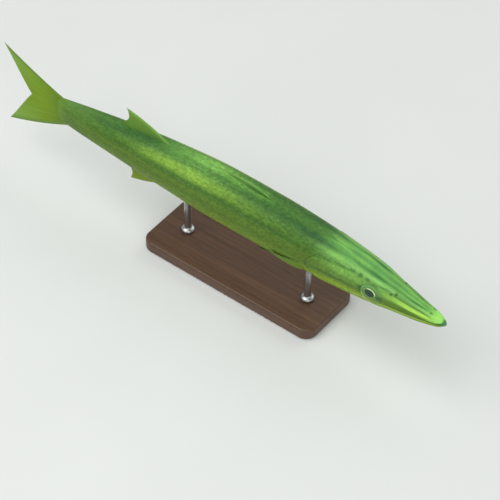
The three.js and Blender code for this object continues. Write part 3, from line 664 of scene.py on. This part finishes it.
def make_eye():
    """Pupil and iris from the eye's own map: rings of the distance from the pupil, a bright crescent
    above its front that is a painted highlight, two thin arcs at the orbit's upper edge and a pale lower
    corner."""
    finish = Finish("eye_gloss", Roughness=0.2, Specular_IOR_Level=0.15, Coat_Weight=0.08,
                    Coat_Roughness=0.05)
    along, up, _ = finish.field("lie")

    def distance(middle_along, middle_up, squash):
        a = finish.math("SUBTRACT", along, middle_along)
        b = finish.times(finish.math("SUBTRACT", up, middle_up), squash)
        return finish.math("SQRT", finish.scaled(a, a, finish.times(b, b)))

    def ring_band(value, middle, width):
        return finish.step(finish.math("ABSOLUTE", finish.math("SUBTRACT", value, middle)), width, 0.0)

    speck = finish.noise(finish.vector("lie"), (28.0, 28.0, 2.0), 4.0, 0.7)
    ring = finish.math("ADD", distance(PUPIL_AT, PUPIL_UP, 1.12), finish.scaled(speck, 0.03, -0.015))
    rim = distance(0.0, 0.0, 1.0)
    around = finish.ramp(finish.scaled(up, 0.5, 0.5), [
        (0.05, (130, 158, 66)), (0.3, (104, 138, 54)), (0.55, (86, 128, 58)), (0.95, (88, 142, 72))])
    iris = finish.ramp(ring, [(0.0, (38, 66, 52)), (0.40, (42, 72, 56)), (0.44, (52, 84, 58)),
                              (0.47, (124, 160, 80)), (0.53, (84, 126, 60))])
    upper_arc, lower_arc = (
        finish.times(ring_band(rim, middle, width), finish.step(up, -0.1, 0.4), strength)
        for middle, width, strength in ((0.90, 0.08, 0.50), (0.72, 0.06, 0.32)))
    to_rear = finish.step(finish.math("SUBTRACT", along, up), 0.5, 1.1)
    corner = finish.times(ring_band(rim, 0.90, 0.17), to_rear, finish.step(up, 0.0, -0.3), 0.6)
    spot = finish.times(finish.step(distance(-0.74, -0.10, 0.8), 0.34, 0.10), 0.85)
    warm = finish.times(ring_band(ring, 0.62, 0.16), finish.step(up, -0.25, -0.5), 0.5)
    to_front = finish.step(finish.math("SUBTRACT", up, along), 0.0, 0.4)
    # A painted highlight: the bright crescent at the pupil's upper front
    crescent = finish.times(ring_band(ring, 0.50, 0.08), to_front, finish.step(up, -0.1, 0.35))
    iris = finish.lay(iris, (
        (finish.step(ring, 0.50, 0.62), around), (upper_arc, (160, 212, 132)),
        (lower_arc, (160, 212, 132)), (corner, (176, 204, 112)), (spot, (56, 98, 66)),
        (warm, (150, 132, 58)), (crescent, (250, 255, 190))))
    return finish.finish(iris, speck, 0.08, 0.00005)


def make_wood():
    """Dark oiled wood: grain along the base from stretched noise, with fine pores."""
    finish = Finish("base_wood_oiled", Roughness=0.4)
    at = finish.objects()
    warp = finish.noise(at, (5.0, 22.0, 22.0), 3.0)
    broad = finish.noise(at, (3.0, 55.0, 55.0), 4.0, 0.6)
    narrow = finish.noise(at, (9.0, 320.0, 320.0), 3.0, 0.6)
    rings = finish.scaled(narrow, 0.45, finish.times(broad, 0.55))
    pores = finish.step(finish.noise(at, (60.0, 900.0, 900.0)), 0.62, 0.72, "LINEAR")
    base = finish.ramp(rings, [(0.34, (64, 43, 30)), (0.48, (90, 62, 43)), (0.56, (98, 69, 48)),
                               (0.66, (112, 80, 56))])
    base = finish.lay(base, ((finish.times(warp, 0.4), (66, 44, 30)),
                             (finish.times(pores, 0.6), (36, 24, 17))))
    height = finish.math("SUBTRACT", finish.times(rings, 0.4), pores)
    return finish.finish(base, height, 0.35, 0.0002, finish.scaled(rings, 0.12, 0.34))


def make_steel():
    """Brushed steel: fine lines round the rod."""
    finish = Finish("rod_steel_brushed", Metallic=1.0, Roughness=0.3)
    at = finish.objects()
    lines = finish.noise(at, (60.0, 60.0, 5200.0))
    cloud = finish.noise(at, (90.0, 90.0, 60.0), 3.0)
    base = finish.ramp(lines, [(0.3, (168, 170, 171)), (0.7, (206, 208, 208))])
    return finish.finish(base, lines, 0.12, 0.00005, finish.scaled(cloud, 0.16, 0.22))


# Each fin's tones: between the rays, on the rays, margin, leading edge, far corner and foot
FIN_TONES = {
    "tail": ((112, 143, 25), (138, 173, 40), (112, 146, 40), (100, 134, 52), (128, 170, 70),
             (104, 136, 42)),
    "spine": ((82, 130, 58), (112, 164, 78), (78, 122, 56), (126, 178, 88), (104, 154, 70),
              (74, 122, 54)),
    "dorsal": ((96, 138, 52), (110, 154, 62), (98, 138, 52), (132, 182, 88), (110, 148, 54),
               (88, 130, 50)),
    "anal": ((116, 144, 36), (132, 158, 50), (112, 138, 38), (124, 150, 46), (118, 144, 38),
             (106, 136, 40)),
    "side": ((100, 132, 46), (112, 144, 54), (92, 124, 44), (78, 108, 42), (106, 138, 50),
             (100, 132, 44)),
}
SKIN, SCALE = make_skin(), make_scale()
FINS = {word: make_fin(f"{word}_fin_skin", *tones) for word, tones in FIN_TONES.items()}
EYE, WOOD, STEEL = make_eye(), make_wood(), make_steel()


# The skin

SKIN_COLUMNS, HEAD_RINGS, TRUNK_RINGS = 200, 306, 184
FIRST_RING, HEAD_END = 0.05, 172.0


def mouth_turn(s):
    """The angle on the left flank at which the mouth's line runs, fading to 0 behind the head."""
    above = mouth_height(s) - centre_height(s)
    tall = np.where(above >= 0, measure(BACK, s), measure(BELLY, s)) * nose_share(s)
    square = np.where(above >= 0, measure(ROOF, s), measure(KEEL, s))
    angle = np.arcsin(np.clip(np.sign(above) * np.abs(above / tall) ** (square / 2), -0.5, 0.7))
    return angle * ease(s, 150, 75)


def skin_turns(s, columns):
    """Angles round a ring, drawn together near the mouth: the share of each flank runs through
    the sum of a line and a square."""
    share = (np.arange(columns) + 0.5) / columns * 4 - 1
    right = share > 1
    local = np.where(right, 2 - share, share)[None, :]
    tight = mix(0.32, 1.0, ease(s, 70, 130))[:, None]
    eased = tight * local + (1 - tight) * np.sign(local) * np.abs(local) ** 2
    middle = mouth_turn(s)[:, None]
    angle = middle + np.where(eased >= 0, QUARTER - middle, QUARTER + middle) * eased
    return np.where(right[None, :], HALF - angle, angle)


def build_skin():
    """Rings close together on the head and wider on the trunk, closed at both ends."""
    head = np.linspace(0, 1, HEAD_RINGS)
    head = mix(FIRST_RING, HEAD_END, mix(head, head ** 1.6, 0.45))
    s = np.concatenate([head, np.linspace(HEAD_END, BODY_END, TRUNK_RINGS)[1:]])
    turn = skin_turns(s, SKIN_COLUMNS)
    points, at, height = flesh(s[:, None], turn)
    ends = np.stack([points[0].mean(0), points[-1].mean(0)])
    fields = {key: np.concatenate([value.reshape(-1, 3), value[[0, -1], 0]])
              for key, value in markings(s[:, None], turn, at, height).items()}
    add_tube("skin", np.concatenate([points.reshape(-1, 3), ends]), SKIN_COLUMNS, SKIN,
             ("head", "lower_jaw", "gill_cover_left", "gill_cover_right", "trunk_front",
              "trunk_rear", "tail_stem"), True, fields)


# The coat of scales

# A scale from its buried root over its round free edge down to the skin: how far out, how high
# and how wide, as shares, and its points across
PLATE = np.array([(0.0, -0.04, 0.80), (0.42, 0.13, 1.0), (0.74, 0.26, 0.92), (0.93, 0.31, 0.66),
                  (1.0, 0.30, 0.34), (1.0, -0.05, 0.34)])
PLATE_ACROSS = np.array([-1.0, -0.55, 0.0, 0.55, 1.0])
# Each scale's patch on the baked picture, as a share of its side
PATCH = 0.003

# Scales of the body: columns round it, the first and last row, the distance of rows before and
# behind the taper, length and half width in pitches, and where the coat is parted
BODY_COLUMNS, WIDEST_AT, FIRST_ROW, LAST_ROW = 92, 290.0, 166.2, 523
FRONT_PITCH, REAR_PITCH, COAT_PART = 3.1, 2.0, 330
BODY_LONG, BODY_WIDE = 1.55, 0.62
# Where the rows draw together, and the distance of rows from which plates rise to the full
TAPER, FULL_RISE_PITCH = (330, 500), 3.0
# Bare strips: from, to and how far from the middle line, as an angle under the first dorsal fin
# and as what the sine lacks of 1 under the rear fins
FIRST_BARE, REAR_BARE = (229, 296, 0.05), (366, 430, 0.0012)
# Scales of the cheeks: their rows and columns, length, half width and every other column's shift,
# their first and last place, and the highest flank
CHEEK_ROWS, CHEEK_COLUMNS = np.arange(98.0, 163.4, 1.9), np.arange(-0.95, 0.93, 0.075)
CHEEK_LONG, CHEEK_WIDE, CHEEK_SHIFT = 2.9, 0.047, 0.95
CHEEK_START, CHEEK_END, CHEEK_TOP = 103, 162.6, 50


def even_turns(count, at):
    """Angles that part the section at one place into equal lengths."""
    turn = np.linspace(0, FULL, 4001)
    y, z, _ = section(np.full_like(turn, at), turn)
    length = np.concatenate([[0], np.cumsum(np.hypot(np.diff(y), np.diff(z)))])
    return np.interp(np.arange(count) / count * length[-1], length, turn)


def scale_coat(name, s, turn, long, wide, rise, draw):
    """Plates rooted at s and turn. Along a plate, out runs from its buried root to its round
    free edge and one step down to the skin. Its height falls to both sides as a square."""
    s, turn, long, wide, rise = (a[:, None, None] for a in (s, turn, long, wide, rise))
    out, lift, narrow = (column[None, :, None] for column in PLATE.T)
    side = PLATE_ACROSS[None, None, :]
    own = draw.random(s.shape)
    tilt = draw.normal(0, 0.05, s.shape)
    bow = 0.10 * (1 - side ** 2) * (out > 0.9)
    u = s + long * (out + bow)
    v = turn + wide * (side * narrow + tilt * out)
    points, at, height = flesh(u, v, rise * lift * (1 - 0.35 * side ** 2) + 0.02 * (own - 0.5))
    fields = markings(u, v, at, height)
    fields["plate"] = np.stack(np.broadcast_arrays(own, out, side), -1)
    unwrap = (s / (BODY_END + 10) + PATCH * (out - 0.5),
              (turn % FULL) / FULL * 0.99 + 0.005 + PATCH / 2 * side)
    plate = grid_quads(len(PLATE), len(PLATE_ACROSS))
    quads = (np.arange(len(s)) * out.size * side.size)[:, None, None] + plate[None]
    add_piece(name, points.reshape(-1, 3), quads.reshape(-1, 4), SCALE, fields=fields,
              uvs={"OFBake": np.stack(np.broadcast_arrays(*unwrap), -1)})


def staggered(s, turn, shift, spread, draw):
    """A grid of rows s and columns turn, every other column shifted back as bricks are."""
    return s + shift * (np.arange(len(turn)) % 2)[None, :] + draw.normal(0, spread, (len(s), len(turn)))


def body_scales(draw):
    """Rows of plates along the trunk, closer together towards the tail, in four parts. The back
    is bare where the first dorsal fin lies, and a fine line where the rear fins stand."""
    turns = even_turns(BODY_COLUMNS, WIDEST_AT)
    s = [FIRST_ROW]
    while s[-1] < LAST_ROW:
        s.append(s[-1] + mix(FRONT_PITCH, REAR_PITCH, float(ease(s[-1], *TAPER))))
    s = np.array(s)[:, None]
    pitch = np.gradient(s[:, 0])[:, None]
    grid_s = staggered(s, turns, 0.5 * pitch, 0.10, draw)
    grid_turn = turns[None, :] + draw.normal(0, 0.002, grid_s.shape)
    spacing = np.gradient(np.concatenate([turns[-1:] - FULL, turns, turns[:1] + FULL]))[1:-1]
    long, wide, rise = (np.broadcast_to(a, grid_s.shape) for a in (
        BODY_LONG * pitch, BODY_WIDE * spacing[None, :], np.minimum(1.0, pitch / FULL_RISE_PITCH)))
    bare = np.zeros(grid_s.shape, bool)
    for (start, end, reach), away in ((FIRST_BARE, np.abs(grid_turn - QUARTER)),
                                      (REAR_BARE, 1 - np.abs(np.sin(grid_turn)))):
        bare |= (away < reach) & (grid_s > start) & (grid_s < end)
    for side, left in (("left", True), ("right", False)):
        for part, front in (("front", True), ("rear", False)):
            pick = ~bare & ((np.cos(grid_turn) > 0) == left) & ((grid_s < COAT_PART) == front)
            scale_coat(f"scales_{side}_{part}", grid_s[pick], grid_turn[pick], long[pick], wide[pick],
                       rise[pick], draw)


def cheek_scales(draw):
    """Small plates on the cheeks and gill covers, clear of the orbit and of the cheek's edge. They
    rise from nothing at the coat's wavy front and upper edges."""
    turns = np.concatenate([CHEEK_COLUMNS, HALF - CHEEK_COLUMNS])
    s = staggered(CHEEK_ROWS[:, None], turns, CHEEK_SHIFT, 0.08, draw)
    turn = np.broadcast_to(turns[None, :], s.shape)
    at = s + gill_shift(s, turn)
    height = section(at, turn)[1]
    flank = np.degrees(np.arcsin(np.sin(turn)))
    start = CHEEK_START + 3 * np.sin(flank * 0.31) + 2 * np.sin(flank * 0.83 + 1)
    top = CHEEK_TOP + 2.5 * np.sin(s * 0.37) + 1.5 * np.sin(s * 0.9)
    inwards = np.minimum(s - start, top - flank)
    pick = (orbit_distance(at, height) > 1.3) & (np.abs(at - through(COVER_FRONT, height) + 1.2) > 1.6)
    pick &= (s < CHEEK_END) & (inwards > 0)
    s = s[pick]
    scale_coat("scales_cheeks", s, turn[pick], np.full(s.shape, CHEEK_LONG),
               np.full(s.shape, CHEEK_WIDE), 0.6 * mix(0.3, 1.0, ease(inwards[pick], 0, 12)), draw)


# Fins

# The rays' half width in spacings, where they begin to part in two, and how far they part
RAY_WIDTH, FORK_FROM, FORK = 0.15, 0.35, 0.27


def fin_ridge(share, out, rays):
    """Height of the rays, 0 to 1: bells on evenly spaced rays that each part into two."""
    spacing = 1 / (rays - 1)
    parting = FORK * spacing * ease(out, FORK_FROM, 1.0)
    width = RAY_WIDTH * spacing * (1 - 0.45 * out)
    height = np.zeros(np.broadcast(share, out).shape)
    for k in range(rays):
        for side in (-1, 1):
            height = np.maximum(height, bump(share, k * spacing + side * parting, width))
    return height


def ray_fin(name, node, material, root, bend, tip, normal, membrane, ray, rays,
            columns_per_ray=10, rows=56, joined=False):
    """A fin as a sheet between its rays: each line from root to tip is a quadratic curve, and
    half the thickness stands off it on both faces, more on a ray, less at the margins. A joined
    fin has no margin at its last ray. Thicknesses are given at the root and at the tip."""
    share = np.linspace(0, 1, (rays - 1) * columns_per_ray + 1)[None, :]
    out = np.linspace(0, 1, rows)[:, None]
    line = curve(out[..., None], root(share), bend(share), tip(share))
    ridge = fin_ridge(share, out, rays)
    half = 0.5 * mix(mix(*membrane, out), mix(*ray, out), ridge)
    free = share if joined else np.minimum(share, 1 - share)
    edge = np.minimum(1, 0.35 + 6 * free) * np.minimum(1, 0.4 + 8 * (1 - out))
    across = normal(share, out) * (half * edge)[..., None]
    points = bent(np.concatenate([(line + across).reshape(-1, 3), (line - across).reshape(-1, 3)]))
    columns = share.size
    count = rows * columns
    sheet = grid_quads(rows, columns)
    rim = np.concatenate([np.arange(columns), np.arange(1, rows) * columns + columns - 1,
                          (rows - 1) * columns + np.arange(columns - 2, -1, -1),
                          np.arange(rows - 2, 0, -1) * columns])
    following = np.roll(rim, -1)
    wall = np.stack([rim, following, following + count, rim + count], -1)[:, ::-1]
    quads = outward(points, np.concatenate([sheet, sheet[:, ::-1] + count, wall]))
    lie = np.stack(np.broadcast_arrays(share, out, ridge), -1)
    add_piece(name, points, quads, material, (node,), fields={"lie": np.stack([lie, lie])})


def outward(points, quads):
    """Turns all faces round if the closed form's signed volume is negative."""
    a, b, c, d = (points[quads[:, k]] - points.mean(0) for k in range(4))
    volume = (a * (np.cross(b, c) + np.cross(c, d))).sum()
    return quads if volume > 0 else quads[:, ::-1]


def side_point(at, z, y=0.0):
    """Points of the straight fish from at, height and distance to the left."""
    at, z, y = np.broadcast_arrays(at, z, y)
    return np.stack([-at, y, z], -1).astype(float)


def sideways(share, out):
    """The way out of an upright fin."""
    return np.broadcast_to(np.array([0.0, 1.0, 0.0]), (*np.broadcast(share, out).shape, 3))


def first_dorsal_fin(start, end, tips_at, last_tip_at):
    """Folded back: the first spine arches over the others, whose tips lie close to the back."""
    def root(share):
        at = mix(start, end, share)
        return side_point(at, back_height(at) - 0.8)

    def bend(share):
        at = mix(mix(start, end, share), tips_at, 0.3)
        return side_point(at, back_height(at) + mix(8.1, 1.9, share))

    def tip(share):
        at = mix(tips_at, last_tip_at, share)
        return side_point(at, back_height(at) + mix(3.0, 0.8, share))

    ray_fin("fin_dorsal_first", "first_dorsal_fin", FINS["spine"], root, bend, tip, sideways,
            membrane=(0.9, 0.5), ray=(2.4, 1.0), rays=5, columns_per_ray=16, rows=40)


def median_fin(name, node, material, start, end, tip_at, tip_height, edge):
    """Long front rays laid back into one point, and a hollow rear margin: a quadratic curve."""
    up = math.copysign(1.0, tip_height)
    margin = (side_point(tip_at, tip_height),
              side_point(tip_at - 8, mix(edge(np.array(tip_at)), tip_height, 0.42)),
              side_point(end + 6, edge(np.array(end)) + up * 5))

    def root(share):
        at = mix(start, end, share)
        return side_point(at, edge(at) - up * 0.9)

    def tip(share):
        return curve(share[..., None], *margin)

    def bend(share):
        middle = mix(root(share), tip(share), 0.42)
        middle[..., 2] += up * mix(6.5, 0.6, share)
        return middle

    ray_fin(name, node, material, root, bend, tip, sideways, membrane=(0.9, 0.35),
            ray=(1.6, 0.5), rays=15)


# The tail fin's fork, its tips, and how far the tips lag to the fish's left from where on
FORK_AT, LOBE_TIP_AT, LAG, LAG_FROM = 561.0, 598.5, 5.5, 520
# Its root: the front rays start along the body's edge, the others at its end
LOBE_SHOULDER, LOBE_ROOT_AT, LOBE_SUNK = 0.25, 519.0, 0.6


def caudal_lobe(word, up, start, tip_height, along, height_share):
    """A lobe of the tail fin from its long leading ray to the short ray at the fork. Its tip
    lags to the fish's left as the square of the distance."""
    def place(at, z):
        lag = LAG * (np.maximum(at - LAG_FROM, 0) / (LOBE_TIP_AT - LAG_FROM)) ** 2
        return side_point(at, up * z, lag)

    def root_line(share):
        down = np.clip((share - LOBE_SHOULDER) / (1 - LOBE_SHOULDER), 0, 1)
        at = mix(start, LOBE_ROOT_AT, np.minimum(share / LOBE_SHOULDER, 1))
        return at, (measure(BACK, at) - LOBE_SUNK) * (1 - down)

    def tip_line(share):
        return (curve(share, LOBE_TIP_AT, LOBE_TIP_AT - 13, FORK_AT + 11, FORK_AT),
                curve(share, tip_height, tip_height * 0.7, tip_height * 0.25, 0.0))

    def bend(share):
        (near_at, near_height), (far_at, far_height) = root_line(share), tip_line(share)
        return place(mix(near_at, far_at, mix(along, 0.5, share)),
                     mix(near_height, far_height, mix(height_share, 0.5, share)))

    ray_fin(f"fin_tail_{word}", f"caudal_fin_{word}", FINS["tail"],
            lambda share: place(*root_line(share)), bend, lambda share: place(*tip_line(share)),
            sideways, membrane=(2.4, 0.45), ray=(3.0, 0.6), rays=17, rows=80, joined=True)


def paired_fin(kind, word, at, slant, top, bottom, length, shortest, fall, tip_down, rays, stand):
    """A fin folded along the body: angles are measured down from the flank's middle line, and
    the outer end stands clear of the skin by the square of the distance."""
    def on_body(share, out, lift):
        near_at, far_at = at + slant * share, at + length * mix(1.0, shortest, share ** fall)
        near, far = mix(top, bottom, share), mix(top + tip_down[0], bottom + tip_down[1], share)
        down = np.radians(mix(near, far, out))
        place = mix(near_at, far_at, out)
        y, z, away = section(place, -down if word == "left" else HALF + down)
        normal = np.stack([0 * y, away[..., 0], away[..., 1]], -1)
        lift = np.broadcast_to(lift, y.shape)[..., None]
        return side_point(place, z + centre_height(place), y) + normal * lift, normal

    def outer(share, out):
        return on_body(share, out, 0.8 + stand * out ** 2)[0]

    def root(share):
        return on_body(share, 0.0, -1.4 - 1.6 * (2 * share - 1) ** 2)[0]

    def bend(share):
        return 2 * outer(share, 0.5) - 0.5 * (root(share) + outer(share, 1.0))

    ray_fin(f"fin_{kind}_{word}", f"{kind}_fin_{word}", FINS["side"], root, bend,
            lambda share: outer(share, 1.0), lambda share, out: on_body(share, out, 0.0)[1],
            membrane=(1.0, 0.4), ray=(1.6, 0.6), rays=rays, rows=48)


# The eyes

EYE_RINGS, EYE_COLUMNS = 44, 96
# How far the dome lies behind the solid's, how deep its edge goes, and the lens over the pupil
EYE_SUNK, EYE_SEAT, LENS_HEIGHT, LENS_RADIUS = 0.1, 4.0, 0.25, 0.5


def eye(word, side):
    """A shallow dome over the orbit's oval, a square of the radius with a flat lens on it, sunk
    at its edge and square to the widening head."""
    radius = np.linspace(0, 1, EYE_RINGS)[1:, None]
    angle = np.linspace(0, FULL, EYE_COLUMNS, endpoint=False)[None, :]
    along, up = radius * np.cos(angle), radius * np.sin(angle)
    lens = np.clip(1 - (np.hypot(along - PUPIL_AT, up - PUPIL_UP) / LENS_RADIUS) ** 2, 0, 1)
    depth = EYE_PROUD - EYE_SUNK - EYE_DOME * radius ** 2 + LENS_HEIGHT * (lens - 1)
    dome = np.stack([along, up, depth], -1)
    lie = np.concatenate([dome.reshape(-1, 3), dome[-1] - (0, 0, EYE_SEAT),
                          [(0, 0, EYE_PROUD - EYE_SUNK), (0, 0, EYE_PROUD - EYE_DOME - EYE_SEAT)]])
    half = ORBIT_LENGTH / 2
    before, after = (float(measure(SIDE, ORBIT_AT + step)) for step in (-half, half))
    lean = math.atan((after - before) / ORBIT_LENGTH)
    a, b, d = lie.T * np.array([[half], [ORBIT_TALL / 2], [1]])
    at = ORBIT_AT + a * math.cos(lean) - d * math.sin(lean)
    y = side * (measure(SIDE, ORBIT_AT) + d * math.cos(lean) + a * math.sin(lean))
    add_tube(f"eyeball_{word}", bent(side_point(at, ORBIT_HEIGHT + b, y)), EYE_COLUMNS, EYE,
             (f"eye_{word}",), side > 0, {"lie": lie})


# The stand

BASE_COLUMNS, BEVEL_STEPS, BASE_INNER, ROD_COLUMNS = 192, 7, 4, 64


def stand_base():
    """A plate with round corners: its outline shrinks along a quarter circle at both edges."""
    angle = np.linspace(0, FULL, BASE_COLUMNS, endpoint=False)
    c, s = np.cos(angle), np.sin(angle)
    bevel = [(BASE_BEVEL * (1 - math.sin(t)), BASE_BEVEL * (1 - math.cos(t)))
             for t in np.linspace(0, QUARTER, BEVEL_STEPS)]
    inner = BASE_BEVEL + BASE_INNER
    profile = [(inner, 0.0), *bevel, *((z, BASE_HEIGHT - inset) for inset, z in bevel),
               (inner, BASE_HEIGHT)]
    rings = [np.stack([np.sign(c) * (BASE_LENGTH / 2 - BASE_CORNER) + (BASE_CORNER - inset) * c,
                       np.sign(s) * (BASE_WIDTH / 2 - BASE_CORNER) + (BASE_CORNER - inset) * s,
                       np.full(BASE_COLUMNS, z)], -1) for inset, z in profile]
    points = np.concatenate([*rings, [(0, 0, 0), (0, 0, BASE_HEIGHT)]])
    add_tube("base_plate", points, BASE_COLUMNS, WOOD, ("stand_base",))


def rod(word, at):
    """A turned profile of collar, slim rod and saddle. The saddle's top follows the belly above
    it, a super-ellipse, less the gap."""
    centre = bent(np.array([-at, 0.0, 0.0]))
    top = AXIS_HEIGHT + float(belly_height(np.array(at)))
    foot, neck = BASE_HEIGHT + GAP, top - SADDLE_HEIGHT
    profile = [(COLLAR_RADIUS - 0.6, foot), (COLLAR_RADIUS, foot + 0.6),
               (COLLAR_RADIUS, foot + COLLAR_HEIGHT * 0.5),
               (COLLAR_RADIUS - 0.7, foot + COLLAR_HEIGHT * 0.72),
               (ROD_RADIUS + 1.2, foot + COLLAR_HEIGHT * 0.9), (ROD_RADIUS, foot + COLLAR_HEIGHT)]
    profile += [(ROD_RADIUS, z) for z in np.linspace(foot + COLLAR_HEIGHT + 2, neck, 8)]
    profile += [(mix(ROD_RADIUS, SADDLE_RADIUS, ease(t, 0, 1)), neck + t * SADDLE_HEIGHT * 0.65)
                for t in np.linspace(0, 1, 8)[1:]]
    angle = np.linspace(0, FULL, ROD_COLUMNS, endpoint=False)
    circle = np.stack([np.cos(angle), np.sin(angle), 0 * angle], -1)
    rings = [circle * r + (centre[0], centre[1], z) for r, z in profile]
    for share in (1, 0.66, 0.33):
        ring = circle * SADDLE_RADIUS * share
        local = at - ring[:, 0]
        keel = measure(KEEL, local)
        aside = np.abs(ring[:, 1]) / measure(SIDE, local)
        ring[:, 2] = AXIS_HEIGHT + belly_height(local) * (1 - aside ** keel) ** (1 / keel) - GAP
        rings.append(ring + (centre[0], centre[1], 0))
    ends = [(centre[0], centre[1], foot), (centre[0], centre[1], top - GAP)]
    add_tube(f"rod_{word}", np.concatenate([*rings, ends]), ROD_COLUMNS, STEEL,
             (f"stand_rod_{word}",))


build_skin()
scale_draw = np.random.default_rng(41)
body_scales(scale_draw)
cheek_scales(scale_draw)
first_dorsal_fin(start=233.0, end=261.0, tips_at=291.0, last_tip_at=287.0)
median_fin("fin_dorsal_second", "second_dorsal_fin", FINS["dorsal"], start=367.0, end=427.0,
           tip_at=427.0, tip_height=51.5, edge=back_height)
median_fin("fin_anal", "anal_fin", FINS["anal"], start=371.0, end=428.0, tip_at=425.0,
           tip_height=-52.5, edge=belly_height)
caudal_lobe("upper", 1, start=513.0, tip_height=56.0, along=0.42, height_share=0.37)
caudal_lobe("lower", -1, start=506.0, tip_height=57.0, along=0.50, height_share=0.60)
for flank_word, flank_sign in (("left", 1), ("right", -1)):
    paired_fin("pectoral", flank_word, at=169.0, slant=-4.0, top=12.0, bottom=36.0, length=46.0,
               shortest=0.42, fall=1.3, tip_down=(9.0, 7.0), rays=15, stand=1.2)
    paired_fin("pelvic", flank_word, at=206.0, slant=3.0, top=60.0, bottom=76.0, length=34.0,
               shortest=0.55, fall=1.0, tip_down=(-3.0, 3.0), rays=9, stand=2.0)
    eye(flank_word, flank_sign)
stand_base()
rod("front", SNOUT_X - ROD_REACH)
rod("rear", SNOUT_X + ROD_REACH)


# Floor, light and camera

FLOOR_REACH = 6.0
# Each light's name, place, size in metres and power in watts, and the point that all face
LIGHTS = (("key", (-0.5, -0.7, 1.7), 1.6, 20.0), ("fill", (1.3, -1.2, 1.1), 1.4, 7.0),
          ("back", (0.2, 1.5, 1.3), 1.6, 8.0))
LIT_POINT = Vector((0, 0, 0.1))
SKY_COLOUR, SKY_STRENGTH = (0.93, 0.96, 0.94, 1), 0.50


def make_floor():
    """A pale, nearly even floor."""
    finish = Finish("floor_pale", Roughness=0.7)
    cloud = finish.noise(finish.objects(), (3.0, 3.0, 3.0), 4.0)
    base = finish.ramp(cloud, [(0.2, (222, 224, 222)), (0.8, (230, 232, 230))])
    return finish.finish(base, cloud, 0.02, 0.001)


def build_stage():
    """The floor, three soft lights and an even sky."""
    mesh = bpy.data.meshes.new("floor")
    corners = [(x * FLOOR_REACH, y * FLOOR_REACH, 0) for x, y in ((-1, -1), (1, -1), (1, 1), (-1, 1))]
    mesh.from_pydata(corners, [], [(0, 1, 2, 3)])
    mesh.materials.append(make_floor())
    add_object("floor", mesh)
    for name, place, size, power in LIGHTS:
        light = add_object(name, bpy.data.lights.new(name, "AREA"))
        light.data.size, light.data.energy = size, power
        light.location = place
        light.rotation_euler = (LIT_POINT - Vector(place)).to_track_quat("-Z", "Y").to_euler()
    world = bpy.data.worlds.new("studio")
    world.use_nodes = True
    sky = world.node_tree.nodes["Background"]
    sky.inputs["Color"].default_value = SKY_COLOUR
    sky.inputs["Strength"].default_value = SKY_STRENGTH
    bpy.context.scene.world = world
    bpy.context.scene.view_settings.view_transform = "Standard"


# The photo's viewing angle, distance in mm, focal length and middle in pixels, and the point of
# the fish that is seen at a given pixel
BEARING, ELEVATION, DISTANCE = math.radians(38.27), math.radians(45.063), 2777.0
FOCAL_PIXELS, MIDDLE_PIXEL = 2600.0, 250.0
TARGET, SEEN_AT = Vector((-17.0, -10.1, 102.0)), (229.1, 205.1)
SENSOR = 36.0


def build_camera():
    """Above the fish's right front: the photo's bearing, height, distance and narrow lens."""
    back = Vector((math.sin(BEARING) * math.cos(ELEVATION), -math.cos(BEARING) * math.cos(ELEVATION),
                   math.sin(ELEVATION)))
    right = Vector((math.cos(BEARING), math.sin(BEARING), 0))
    up = back.cross(right)
    aim = TARGET + right * (MIDDLE_PIXEL - SEEN_AT[0]) * DISTANCE / FOCAL_PIXELS
    aim = aim - up * (MIDDLE_PIXEL - SEEN_AT[1]) * DISTANCE / FOCAL_PIXELS
    place = TARGET + back * DISTANCE
    camera = add_object("camera", bpy.data.cameras.new("camera"))
    camera.data.sensor_width = SENSOR
    camera.data.lens = FOCAL_PIXELS / (2 * MIDDLE_PIXEL) * SENSOR
    camera.data.clip_start, camera.data.clip_end = 0.05, 30.0
    camera.location = place * MM
    axis = (place - aim).normalized()
    level = (right - axis * right.dot(axis)).normalized()
    camera.rotation_euler = Matrix((level, axis.cross(level), axis)).transposed().to_euler()
    bpy.context.scene.camera = camera


build_stage()
build_camera()
